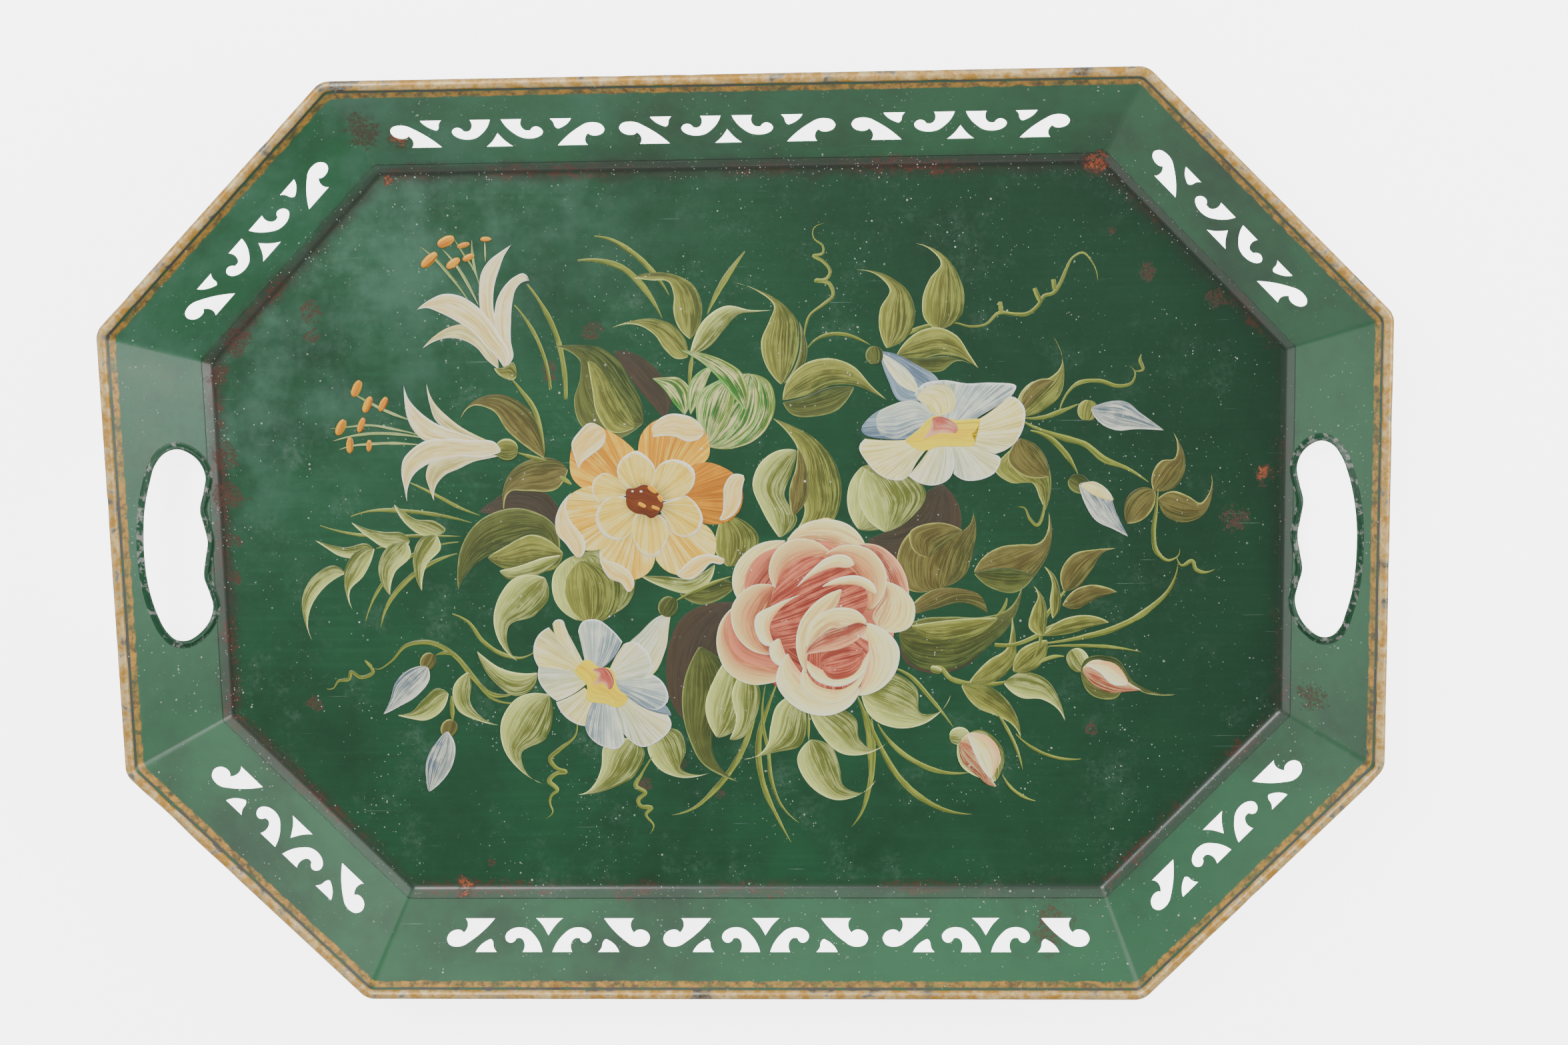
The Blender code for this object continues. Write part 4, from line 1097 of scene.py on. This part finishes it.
paintPiece("leaves_middle", [
    leaf((20, -2), (14, 62), [(30, 12), (26, 30), (27, 46), (21.5, 55)],
         [(45, 8), (49.5, 22), (46.5, 38), (35, 52), (24, 58)], "leaf"),
    leaf((17, -1), (27, 45), [(8, 14), (3.5, 28), (9, 40), (18, 45.2)], [(26, 8), (20, 22), (24, 33)], "leafLight"),
    leaf((24, 10), (27, 47), [(22.5, 25), (26, 36)], [(32, 20), (32, 35)], "leafBrown"),
    leaf((-10, -16), (-12, 11.5), [(-16.5, -8), (-15.6, 3)], [(5, -8), (6, 0), (-1, 8)], "leaf"),
    leaf((60, 36), (58, 3), [(54, 28), (52.6, 14)], [(70, 38), (88, 28), (84, 14), (72, 4)], "leafLight"),
    leaf((62, 35), (72, 1.5), [(58, 22), (63, 8)], [(88, 30), (93, 22), (86, 10)], "leafLight"),
    leaf((-36, -30), (-7, -27), [(-26, -36), (-14, -33)], [(-29, -26), (-18, -24.6), (-10, -23)], "leafDark"),
    leaf((-56, -20.5), (-17, -14.5), [(-44, -27), (-30, -30), (-20, -24)], [(-44, -20.6), (-30, -21.5), (-22, -18)],
         "leafLight"),
    leaf((143, 48), (154, 12), [(134, 42), (128, 34), (136, 27), (148, 26), (151, 19)],
         [(150, 45), (156, 35), (157, 24)], "leaf"),
    leaf((141, 50), (156, 30), [(135, 38), (144, 30)], [(150, 46), (155, 38)], "leafBrown"),
    ribbon([(152, 22), (153, 12), (149.5, 4.5), (146, 8), (143, 13.8), (139, 14)], 1.8),
], 0.05)
paintPiece("leaves_right", [
    leaf((100, -28), (117, 12), [(82, -28), (77.5, -12), (84, 1), (98, 6), (109, 1), (115, 5)],
         [(112, -22), (117, -8), (118.6, 4)], "leafBrown"),
    leaf((94, -12), (112, 2), [(86, -8), (84, 1), (97, 6.4)], [(102, -6)], "leafBrown"),
    leaf((117, -20), (155.5, 12), [(122, -12), (131, -6.6), (141, -5.4), (150, -5)],
         [(128, -29), (139, -30.5), (150, -20), (156.5, -7)], "leafBrown"),
    leaf((117, -20.5), (148, -22), [(127, -29), (138, -31)], [(126, -18), (138, -18)], "leafDark"),
    stroke([(84, -38), (92, -31), (101, -28)], [(86, -42), (98, -39), (110, -36), (124, -42)], "leafBrown",
           outer=[(110, -28.5), (120, -32)]),
    leaf((78, -52), (142, -26), [(88, -45), (104, -43.4), (122, -43.6), (134, -40)],
         [(84, -68), (104, -72), (124, -60), (138, -44)], "leafDark"),
    leaf((84, -48), (130, -44), [(96, -46)], [(92, -56), (112, -56), (124, -50)], "leaf"),
    ribbon([(134, -33), (131, -41), (127, -44)], 2.0),
    ribbon([(94, -71.5), (99, -70.5), (104, -76), (113, -79), (128, -79.4), (139, -77)], 3.0, taper=(0.9, 0.4)),
    dab(97, -71.6, 6.5, 4.6, -20, "leafLight"),
    leaf((114, -78.6), (136.5, -43), [(124, -67), (134, -60), (136, -52)], [(128, -78), (138, -68), (138.6, -56)],
         "leaf"),
    leaf((110, -80), (141, -109), [(118, -92), (129, -97), (136, -101)], [(122, -79.6), (133, -87), (138.6, -96)],
         "leaf"),
    leaf((132, -79), (164, -100), [(141, -87), (152, -88), (160, -93)], [(143, -73), (154, -77), (161, -88)],
         "leafLight"),
    leaf((137, -73), (155, -56), [(140, -62), (149, -57)], [(145, -73.5), (153, -67)], "leaf"),
    ribbon([(145, -70), (151, -58), (152, -48), (158, -38), (165, -29), (171, -22)], 2.2),
    ribbon([(127, -58.4), (137, -58.6), (148, -54.6), (157, -49), (169, -46)], 2.4, taper=(0.9, 0.5)),
    leaf((152, -54), (187, -47), [(161, -46), (170, -43.2), (180, -43.8)], [(166, -53), (177, -49.6)], "leaf"),
    leaf((153, -54), (147.5, -27), [(145.5, -50), (147, -40), (150, -33)], [(155, -44), (153, -34)], "leaf"),
    leaf((157.5, -45), (153, -17), [(156, -36), (157, -25)], [(161, -41), (161.5, -30), (158, -21)], "leaf"),
    leaf((163.5, -30.5), (190.5, -8), [(161.6, -21), (168, -11), (180, -8.4)], [(171, -28), (178, -19), (184, -10)],
         "leafBrown"),
    leaf((162.5, -38), (191, -31), [(170, -29), (179, -27), (186, -28.6)], [(169, -40), (180, -34.6)], "leafBrown"),
    ribbon([(153, -58), (172, -55), (190, -50), (206, -41), (218, -29), (222, -15)], 3.4),
    ribbon([(155, -59.5), (170, -59.3), (186, -60), (204, -63)], 2.0),
    ribbon([(149, -70), (155, -66), (164, -65)], 2.2),
    ribbon([(138, -106), (147, -114), (158, -119), (173, -120)], 1.9),
    ribbon([(127, -93), (136, -108), (142, -127)], 2.0), ribbon([(131, -128), (136, -136), (149, -143)], 2.0),
], 0.05)
paintPiece("buds_pink", [
    dab(170.5, -67, 13, 11.5, -60, "leafLight"), dab(109, -107.5, 10.6, 10, 0, "leafLight"),
    leaf((172, -73), (222, -85.6), [(178, -86), (190, -87.5), (196, -81), (206, -85)],
         [(174, -67), (190, -66), (200, -79), (212, -84.6)], "leafDark"),
    leaf((108, -111), (128, -132), [(110, -124), (119, -130)], [(120, -104), (132, -116)], "leafLight"),
    leaf((172.5, -72), (204, -83), [(178, -80), (188, -84.5), (196, -84)], [(178, -67), (190, -70), (197, -79)],
         "budPink"),
    leaf((174, -69.5), (197, -80), [(182, -74), (188, -80)], [(181, -67.2), (190, -69), (195, -75)], "roseTip"),
    leaf((109, -111), (128.5, -135), [(110, -121), (118, -129), (124, -134)],
         [(114, -105.8), (126, -110), (130.5, -120), (126, -131)], "budPink"),
    leaf((113, -106.6), (125.5, -131), [(117, -118), (121, -126)], [(123, -107), (130, -116), (128.4, -125)],
         "roseTip"),
], 0.40)
paintPiece("leaves_bottom", [
    ribbon([(63, -97), (64, -110), (60.6, -138), (57, -149), (51, -157.5)], 3.0),
    ribbon([(55, -84), (60, -98), (62, -115), (61.5, -134)], 3.2),
    ribbon([(60, -93), (67, -112), (78, -131), (90, -142), (102, -148), (116, -150)], 3.6),
    ribbon([(66, -100), (75, -113), (87, -122), (100, -127), (115, -127)], 3.0),
    ribbon([(15, -76), (9, -91), (4, -107), (3.5, -120), (7, -138), (13, -152), (20, -166)], 3.4),
    ribbon([(8, -79), (6, -100), (8.6, -115), (10, -131), (15, -145), (25, -155)], 2.2),
    ribbon([(4, -79), (1, -98), (-8, -120), (-20, -136), (-33, -147), (-44, -150)], 3.4),
    ribbon([(70, -69), (82, -74), (94, -87), (106, -103)], 2.4),
    leaf((26, -84), (-5, -119.6), [(14, -90), (10, -102), (8, -112), (2, -118)], [(29, -98), (26, -112), (12, -116)],
         "leafLight"),
    leaf((30, -90), (72, -110), [(36, -106), (48, -117), (60, -117)], [(44, -91), (55, -98), (57, -109), (62, -114)],
         "leafLight"),
    leaf((31, -109), (65.5, -130), [(24, -118), (30, -134), (44, -142), (58, -138)],
         [(42, -113), (46, -124), (48, -134), (57, -138)], "leafLight"),
    ribbon([(30, -92), (30, -110)], 1.8),
    leaf((58, -84), (105, -84), [(64, -98), (76, -103), (92, -100), (101, -92)],
         [(74, -73), (87, -82), (89, -95), (97, -95)], "leafLight"),
    leaf((-26, -58), (-7, -132), [(-36, -84), (-33, -108), (-26, -122), (-15, -129)],
         [(-6, -80), (-20, -104), (-20, -118), (-13, -128)], "leafDark"),
    leaf((-8, -60), (-18, -108), [(-18, -74), (-24, -92)], [(2, -76), (-2, -96), (-10, -105)], "leafLight"),
    leaf((-2, -70), (-12, -109), [(-10, -84), (-8, -98)], [(5, -82), (1, -100), (-5, -108)], "leafLight"),
    leaf((-50, -104), (-21, -126), [(-55, -112), (-50, -124), (-38, -129.4), (-28, -128.6)],
         [(-38, -104), (-35, -116), (-38, -124), (-28, -128)], "leafLight"),
    leaf((-63, -108), (-94, -138.6), [(-78, -112), (-80, -124), (-84, -133), (-89, -137.6)],
         [(-57, -114), (-62, -128), (-74, -135)], "leafLight"),
    ribbon([(-52, -117), (-59, -128), (-62, -134), (-57, -137.6), (-61, -142), (-60, -145), (-54, -146), (-57, -149.6),
            (-53, -156), (-56, -161)], 2.4),
    ribbon([(-92, -98), (-93, -106), (-102, -114), (-107, -119), (-103, -124.6), (-99, -126), (-104, -127),
            (-108, -131), (-103.6, -136), (-107, -139), (-108, -143), (-106.5, -148), (-111, -152)], 2.6),
], 0.05)
paintPiece("leaves_left", [
    ribbon([(-176.3, 30.8), (-162.3, 23.6), (-148.8, 16.3), (-138, 12)], 2.2),
    ribbon([(-207.5, 12), (-196, 15.2), (-178, 15), (-160, 12.6), (-142, 8)], 2.4),
    ribbon([(-224, 8), (-208, 3.4), (-190, 1.6), (-168, 1.8), (-148, 1.2)], 2.2),
    ribbon([(-150, -1.6), (-163, -3.6), (-178, -10), (-188, -19), (-196, -30), (-202, -45)], 2.2),
    ribbon([(-151, -7.6), (-164, -12), (-180, -23), (-189, -34), (-194, -48)], 3.0),
    ribbon([(-180, 0), (-195, -5)], 1.8), ribbon([(-156, -40), (-148, -44), (-140, -55), (-130, -62), (-120, -64),
                                                 (-112, -60)], 2.6),
    leaf((-161, 2), (-184, 19), [(-170, 2), (-177, 7)], [(-157, 5), (-162, 9.5), (-173, 11), (-179, 15)],
         "leafLight"),
    leaf((-176, -1.6), (-207, 9.6), [(-188, -5), (-198, 1)], [(-179, 3), (-190, 4.2), (-199, 6)], "leafLight"),
    leaf((-195, -5.6), (-226.5, 0), [(-204, -10), (-214, -8.6), (-221, -4)], [(-198, -2.4), (-211, -3.8), (-220, -2)],
         "leafLight"),
    leaf((-195, -4.6), (-208, -38), [(-202, -20), (-209, -27)], [(-204, -5.6), (-211.5, -16), (-211.5, -28)],
         "leafLight"),
    leaf((-211, -18), (-230, -55), [(-224, -27), (-231, -38), (-232.4, -47)],
         [(-216, -13.6), (-228, -19), (-235, -32), (-234, -44)], "leafLight"),
    leaf((-178, -1), (-188, -30), [(-176, -8), (-185, -18)], [(-187, -3), (-193.5, -14), (-192, -24)], "leafLight"),
    leaf((-162, 2), (-171, -28), [(-160, -4), (-168, -14)], [(-170, 1), (-175, -9), (-174.6, -18)], "leafLight"),
    leaf((-99, -14), (-152, -28), [(-101, 8), (-118, 16), (-140, 9), (-150, -6), (-152, -18)],
         [(-108, 0), (-122, -5), (-140, -12), (-148, -20)], "leafDark"),
    leaf((-96, -8), (-136, -10), [(-112, 2), (-126, -4)], [(-100, -16), (-112, -18), (-128, -16)], "leaf"),
    leaf((-97, -9), (-130, -17), [(-106, -10), (-118, -14)], [(-106, -18), (-118, -21.6), (-127, -21)], "leafLight"),
    leaf((-106, -21), (-122, -66), [(-122, -21), (-130, -30), (-134, -44), (-131, -56)],
         [(-104.5, -32), (-112, -41), (-126, -47), (-127, -57)], "leafLight"),
    leaf((-92, -10), (-90, -44), [(-101, -18), (-101, -34)], [(-60, -10), (-62, -34), (-80, -44)], "leafLight"),
    leaf((-88, -12), (-84, -46), [(-96, -24), (-92, -40)], [(-66, -22), (-70, -40)], "leaf"),
    leaf((-104, 42), (-147.7, 61.4), [(-113, 48), (-123, 57), (-129.5, 67), (-140, 70)],
         [(-104, 54), (-112, 69), (-127, 76), (-141, 71.5)], "leafBrown"),
    leaf((-92, 36), (-126, 14), [(-98, 26), (-114, 25), (-122, 25)],
         [(-97, 41), (-110, 42), (-122, 35), (-126.6, 24)], "leafBrown"),
    ribbon([(-97, 33), (-90, 28)], 3.0), ribbon([(-122.5, -82), (-135, -84), (-145, -76), (-152, -68)], 2.6),
    ribbon([(-120, -88), (-136, -86), (-146, -74), (-157, -61), (-168, -55.4), (-181, -57), (-190, -66), (-197, -69.6),
            (-200, -68)], 2.8),
    ribbon([(-199, -68), (-203, -65), (-199, -71), (-206, -74), (-211, -71), (-212, -74.6), (-218, -76), (-221, -80),
            (-225, -80)], 2.2),
    ribbon([(-153, -64), (-160, -61), (-166, -62.6)], 2.0), ribbon([(-158, -84), (-158, -99)], 2.8),
    leaf((-112, -72), (-143.5, -60), [(-122, -72), (-132, -69), (-139, -64)], [(-114, -80), (-124, -84.6),
                                                                               (-134, -78)], "leafLight"),
    leaf((-106, -84), (-110, -133), [(-122, -85), (-132, -98), (-131, -114), (-122, -126)],
         [(-104.6, -96), (-109, -108), (-122, -116), (-120, -126)], "leafLight"),
    leaf((-148, -71), (-133, -100.4), [(-157, -80), (-155, -92), (-144, -98)], [(-147, -78), (-148, -88), (-141, -97)],
         "leafLight"),
    leaf((-159.5, -83), (-187.5, -94.6), [(-163, -92), (-172, -97.6), (-181, -96.4)], [(-165, -80), (-173, -86),
                                                                                      (-180, -93)], "leafLight"),
    dab(-169.5, -65.6, 9.6, 8.6, 60, "leafBrown"), dab(-160, -102, 10, 8.8, 60, "leafBrown"),
], 0.05)
paintPiece("buds_left", [
    leaf((-170, -68), (-195, -94.4), [(-169, -74), (-176, -84), (-186, -90)],
         [(-176, -68.4), (-187, -76), (-191, -87)], "bud"),
    leaf((-161, -103), (-172.5, -137), [(-157.4, -110), (-159, -122), (-166, -132)],
         [(-167, -109), (-173, -120), (-173.4, -131)], "bud"),
], 0.40)
paintPiece("rose_outer", [
    blob([(0, -22), (14, -9), (40, 1), (60, -9), (78, -28), (76, -48), (72, -70), (52, -85), (26, -86), (4, -72),
          (-9, -52), (-5, -32)], "roseInner"),
    stroke([(20, -4), (26, 4), (37, 8.4)], [(30, -8), (38, -3), (46, -2)], "roseCream", seed=3,
           outer=[(44, 8.8), (47, 4)]),
    leaf((20, -4), (61.8, -6), [(27, 4.8), (40, 8.8), (53, 5.6)], [(32, -2), (44, -4), (55, -8)], "roseCream"),
    leaf((57, -4.6), (83.4, -34), [(68, -5.4), (78, -13.6), (83, -25)], [(66, -10), (72, -20), (76, -30)],
         "rosePink"),
    leaf((70, -24), (68, -49.6), [(80, -28), (86.6, -38), (84, -48.6), (76, -51.6)], [(70, -32), (64, -42)],
         "roseCream"),
    leaf((58, -46), (55, -85.4), [(70, -49.6), (78, -60), (76, -73), (66, -83)], [(58, -58), (60, -70)],
         "roseTip"),
    leaf((-6, -36), (22, -74), [(-14.6, -45), (-17.2, -58), (-12, -72), (0, -79), (12, -78)],
         [(-8, -52), (0, -60), (12, -62)], "roseDeep"),
    leaf((-8, -38), (18, -68), [(-11, -50), (-8, -62), (4, -69)], [(0, -46), (10, -52), (18, -56)], "roseInner"),
    leaf((20, -2.4), (-5, -34), [(4, -5), (-5.6, -14), (-8.2, -26)], [(14, -12), (8, -20), (2, -26)], "roseCream"),
    leaf((18, -6), (-1, -32), [(6, -10), (-1, -20)], [(20, -16), (14, -28)], "roseInner"),
    leaf((14, -26), (12, -63), [(2, -26), (-9, -38), (-8, -50), (0, -60)], [(12, -38), (8, -46), (8, -56)],
         "roseDeep"),
    leaf((16, -30), (44, -10), [(11, -20), (13.6, -9), (24, -1.6), (36, -3)], [(26, -22), (36, -18)], "roseDeep"),
    leaf((40, -10), (63, -40), [(50, -5), (64, -7.6), (72, -20), (71, -30)], [(48, -16), (55, -24), (57, -34)],
         "roseDeep"),
    stroke([(14, -28), (20, -17), (32, -11)], [(14, -60), (30, -58), (48, -48)], "roseRed",
           outer=[(46, -13), (58, -22), (62, -36)], root=[(10, -40), (11, -52)]),
], 0.40)
paintPiece("rose_bowl", [
    leaf((27.5, -31), (14, -58), [(12, -37), (3.6, -42), (3, -50), (8, -58)], [(14, -42), (11, -48), (12, -54)],
         "roseTip"),
    leaf((16, -54), (20, -70), [(10.6, -58), (11.4, -66)], [(18, -60), (20, -66)], "roseTip"),
    leaf((20, -62), (58, -80), [(13.6, -78), (24, -92), (41, -96), (53, -90)], [(28, -74), (38, -82), (49, -84)],
         "roseTip"),
    leaf((30, -66), (61, -66), [(27, -82), (42, -90), (57, -80)], [(36, -74), (46, -77), (55, -74)], "roseCream"),
    stroke([(31, -58), (28.4, -68)], [(50, -50), (62, -56)], "roseRed", outer=[(34, -79), (48, -82), (60, -72)],
           root=[(38, -52)]),
    leaf((29, -65), (62.6, -60), [(33, -76), (46, -80.6), (58, -75)], [(36, -70), (46, -73.6), (56, -69)],
         "roseTip"),
    leaf((49, -28), (30, -74), [(36, -34), (26.4, -46), (24.6, -62)], [(46, -38), (34, -50), (30.6, -62)],
         "roseCream"),
    leaf((37, -68), (60, -62), [(42, -76), (54, -74)], [(38, -60), (48, -56), (56, -58)], "roseRed"),
    leaf((30, -60), (62, -47), [(34, -44), (46, -38), (57, -40)], [(36, -54), (44, -49.6), (54, -51)], "roseCream"),
    leaf((29, -63), (62, -48), [(36, -62), (48, -60), (58, -54)], [(38, -52), (50, -48), (58, -46)], "rosePink"),
    leaf((25, -27.4), (56, -15), [(33, -18), (42, -11), (51, -10)], [(36, -20), (46, -17), (53, -17)], "roseTip"),
    leaf((38, -27.2), (67, -31.6), [(47, -22), (58, -21), (65, -25)], [(50, -26.2), (58, -27), (63, -30)],
         "roseTip"),
], 0.54)
paintPiece("blue_upper", [
    leaf((97, 68), (69.8, 95.8), [(88, 70), (80, 70), (74, 81)], [(100, 80), (88, 89), (77, 94.6)], "slate"),
    leaf((90, 74), (70.5, 95), [(80, 78), (74, 86)], [(86, 84), (78, 91)], "white"),
    dab(67.4, 93.7, 9.4, 9.4, 90, "leafDark"),
    stroke([(96, 60), (84, 68), (74, 67)], [(96, 54), (84, 50), (74, 50.4)], "slate", outer=[(64, 61.4), (60, 56)]),
    leaf((97, 60), (67.6, 59), [(88, 70), (76, 68), (69, 64)], [(86, 54), (77, 50.4), (70, 53)], "bluish"),
    stroke([(100, 58), (94, 65), (87.5, 73)], [(112, 56), (120, 61), (129, 67)], "bluish",
           outer=[(91, 78), (102, 80.4), (114, 78.6), (128, 78.8), (139.5, 76.6), (136, 71)]),
    leaf((100, 62), (88, 71.4), [(96, 64), (91.6, 69.4)], [(108, 66), (106, 77), (96, 78)], "whiteWarm"),
    stroke([(110, 56), (122, 61), (131, 67)], [(112, 50), (120, 45), (128, 42)], "whiteWarm",
           outer=[(137, 71.6), (143, 67), (143.4, 57), (138, 47)]),
    stroke([(110, 51), (118, 46), (127, 42)], [(106, 48), (107.6, 40), (107, 32)], "white",
           outer=[(131, 40), (129, 33), (120, 28.4), (112, 28.6)]),
    stroke([(98, 50), (92, 41), (84, 31)], [(105, 49), (108.6, 41), (107, 33.6)], "white",
           outer=[(90, 27), (99, 26.2), (105, 29.6)]),
    stroke([(98, 52), (80, 49.6), (62, 50.6)], [(97, 48), (91, 42), (86, 34)], "whiteWarm",
           outer=[(59, 47), (63, 38), (72, 30), (82, 29.4)]),
    blob([(82, 49.6), (89, 55), (97, 62), (108, 60), (121, 59.6), (115, 52), (118, 47), (108, 46), (100, 46),
          (92, 44)], "throat"),
    blob([(96, 61), (103, 61.4), (109.6, 55), (108, 52.6), (100, 53), (92, 50.6), (95, 55)], "throatRed"),
], 0.42)
paintPiece("blue_lower", [
    leaf((-64, -76), (-40.5, -40), [(-52, -74), (-44, -60), (-41.6, -46)], [(-66, -60), (-57, -50.6), (-48, -42.6)],
         "white"),
    dab(-42, -37, 11, 10.4, 60, "leafDark"), ribbon([(-38, -34), (-24, -27), (-8, -21)], 2.4),
    leaf((-66, -84), (-41.7, -96), [(-54, -86), (-44, -91)], [(-56, -92), (-46, -95)], "slate"),
    stroke([(-86, -70), (-88, -58), (-89.6, -50)], [(-78, -70), (-73, -66), (-66.6, -55.6)], "bluish",
           outer=[(-87, -44.6), (-80, -43.4), (-72, -49)]),
    stroke([(-90, -72), (-100, -58), (-103, -46)], [(-86, -70), (-91, -59), (-96.4, -48)], "whiteWarm",
           outer=[(-101, -43.6), (-98, -43.6)]),
    stroke([(-88, -74), (-99, -70.6), (-111, -69)], [(-87, -70), (-98, -56), (-105, -47.6)], "whiteWarm",
           outer=[(-113.6, -62), (-111.6, -53)]),
    stroke([(-86, -78), (-94, -84), (-102, -87.4)], [(-88, -73), (-99, -70), (-111, -69)], "white",
           outer=[(-108, -82), (-111.6, -75)]),
    stroke([(-80, -86), (-78, -92), (-80, -98)], [(-87, -80), (-95, -85), (-102.6, -88)], "whiteWarm",
           outer=[(-88, -101), (-97, -97)]),
    stroke([(-73, -86), (-69.6, -96), (-67, -109)], [(-82, -86), (-86, -94), (-87.6, -101)], "bluish",
           outer=[(-70, -113), (-80, -111.6), (-86, -106)]),
    stroke([(-66, -84), (-55, -92), (-44, -95)], [(-74, -84), (-70, -94), (-68.6, -103)], "white",
           outer=[(-42, -100), (-50, -110), (-58, -112.6), (-65, -108)]),
    stroke([(-72, -74), (-62, -75), (-52, -73)], [(-70, -82), (-62, -86), (-56, -90.6)], "bluish",
           outer=[(-45, -79), (-43.6, -88), (-48, -92)]),
    stroke([(-74, -71), (-70, -63), (-66, -57)], [(-73, -76), (-64, -76), (-56, -75)], "white",
           outer=[(-60.6, -55.6), (-53, -62), (-51.6, -70)]),
    blob([(-90, -68), (-85, -65), (-79, -69), (-73, -70), (-69, -81), (-64, -85), (-69, -91), (-77, -89), (-86, -87),
          (-86, -79), (-92, -71)], "throat"),
    blob([(-83.6, -70.6), (-74, -70.4), (-72, -79), (-74.6, -82), (-78, -77.6), (-82.6, -78.4), (-80, -74)],
         "throatRed"),
], 0.42)
print("painting: " + str(len(painted)) + " pieces", flush=True)
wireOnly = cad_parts["rim_wire"]
wirePaint = Paint("iron_wire", roughness=0.5, metallic=1.0)
wirePaint.finish(wirePaint.mix(srgb("#4a4642"), srgb("#6d5a4c"), wirePaint.step(wirePaint.noise(4), 0.4, 0.6)))
wireOnly.data.materials.clear()
wireOnly.data.materials.append(wirePaint.material)
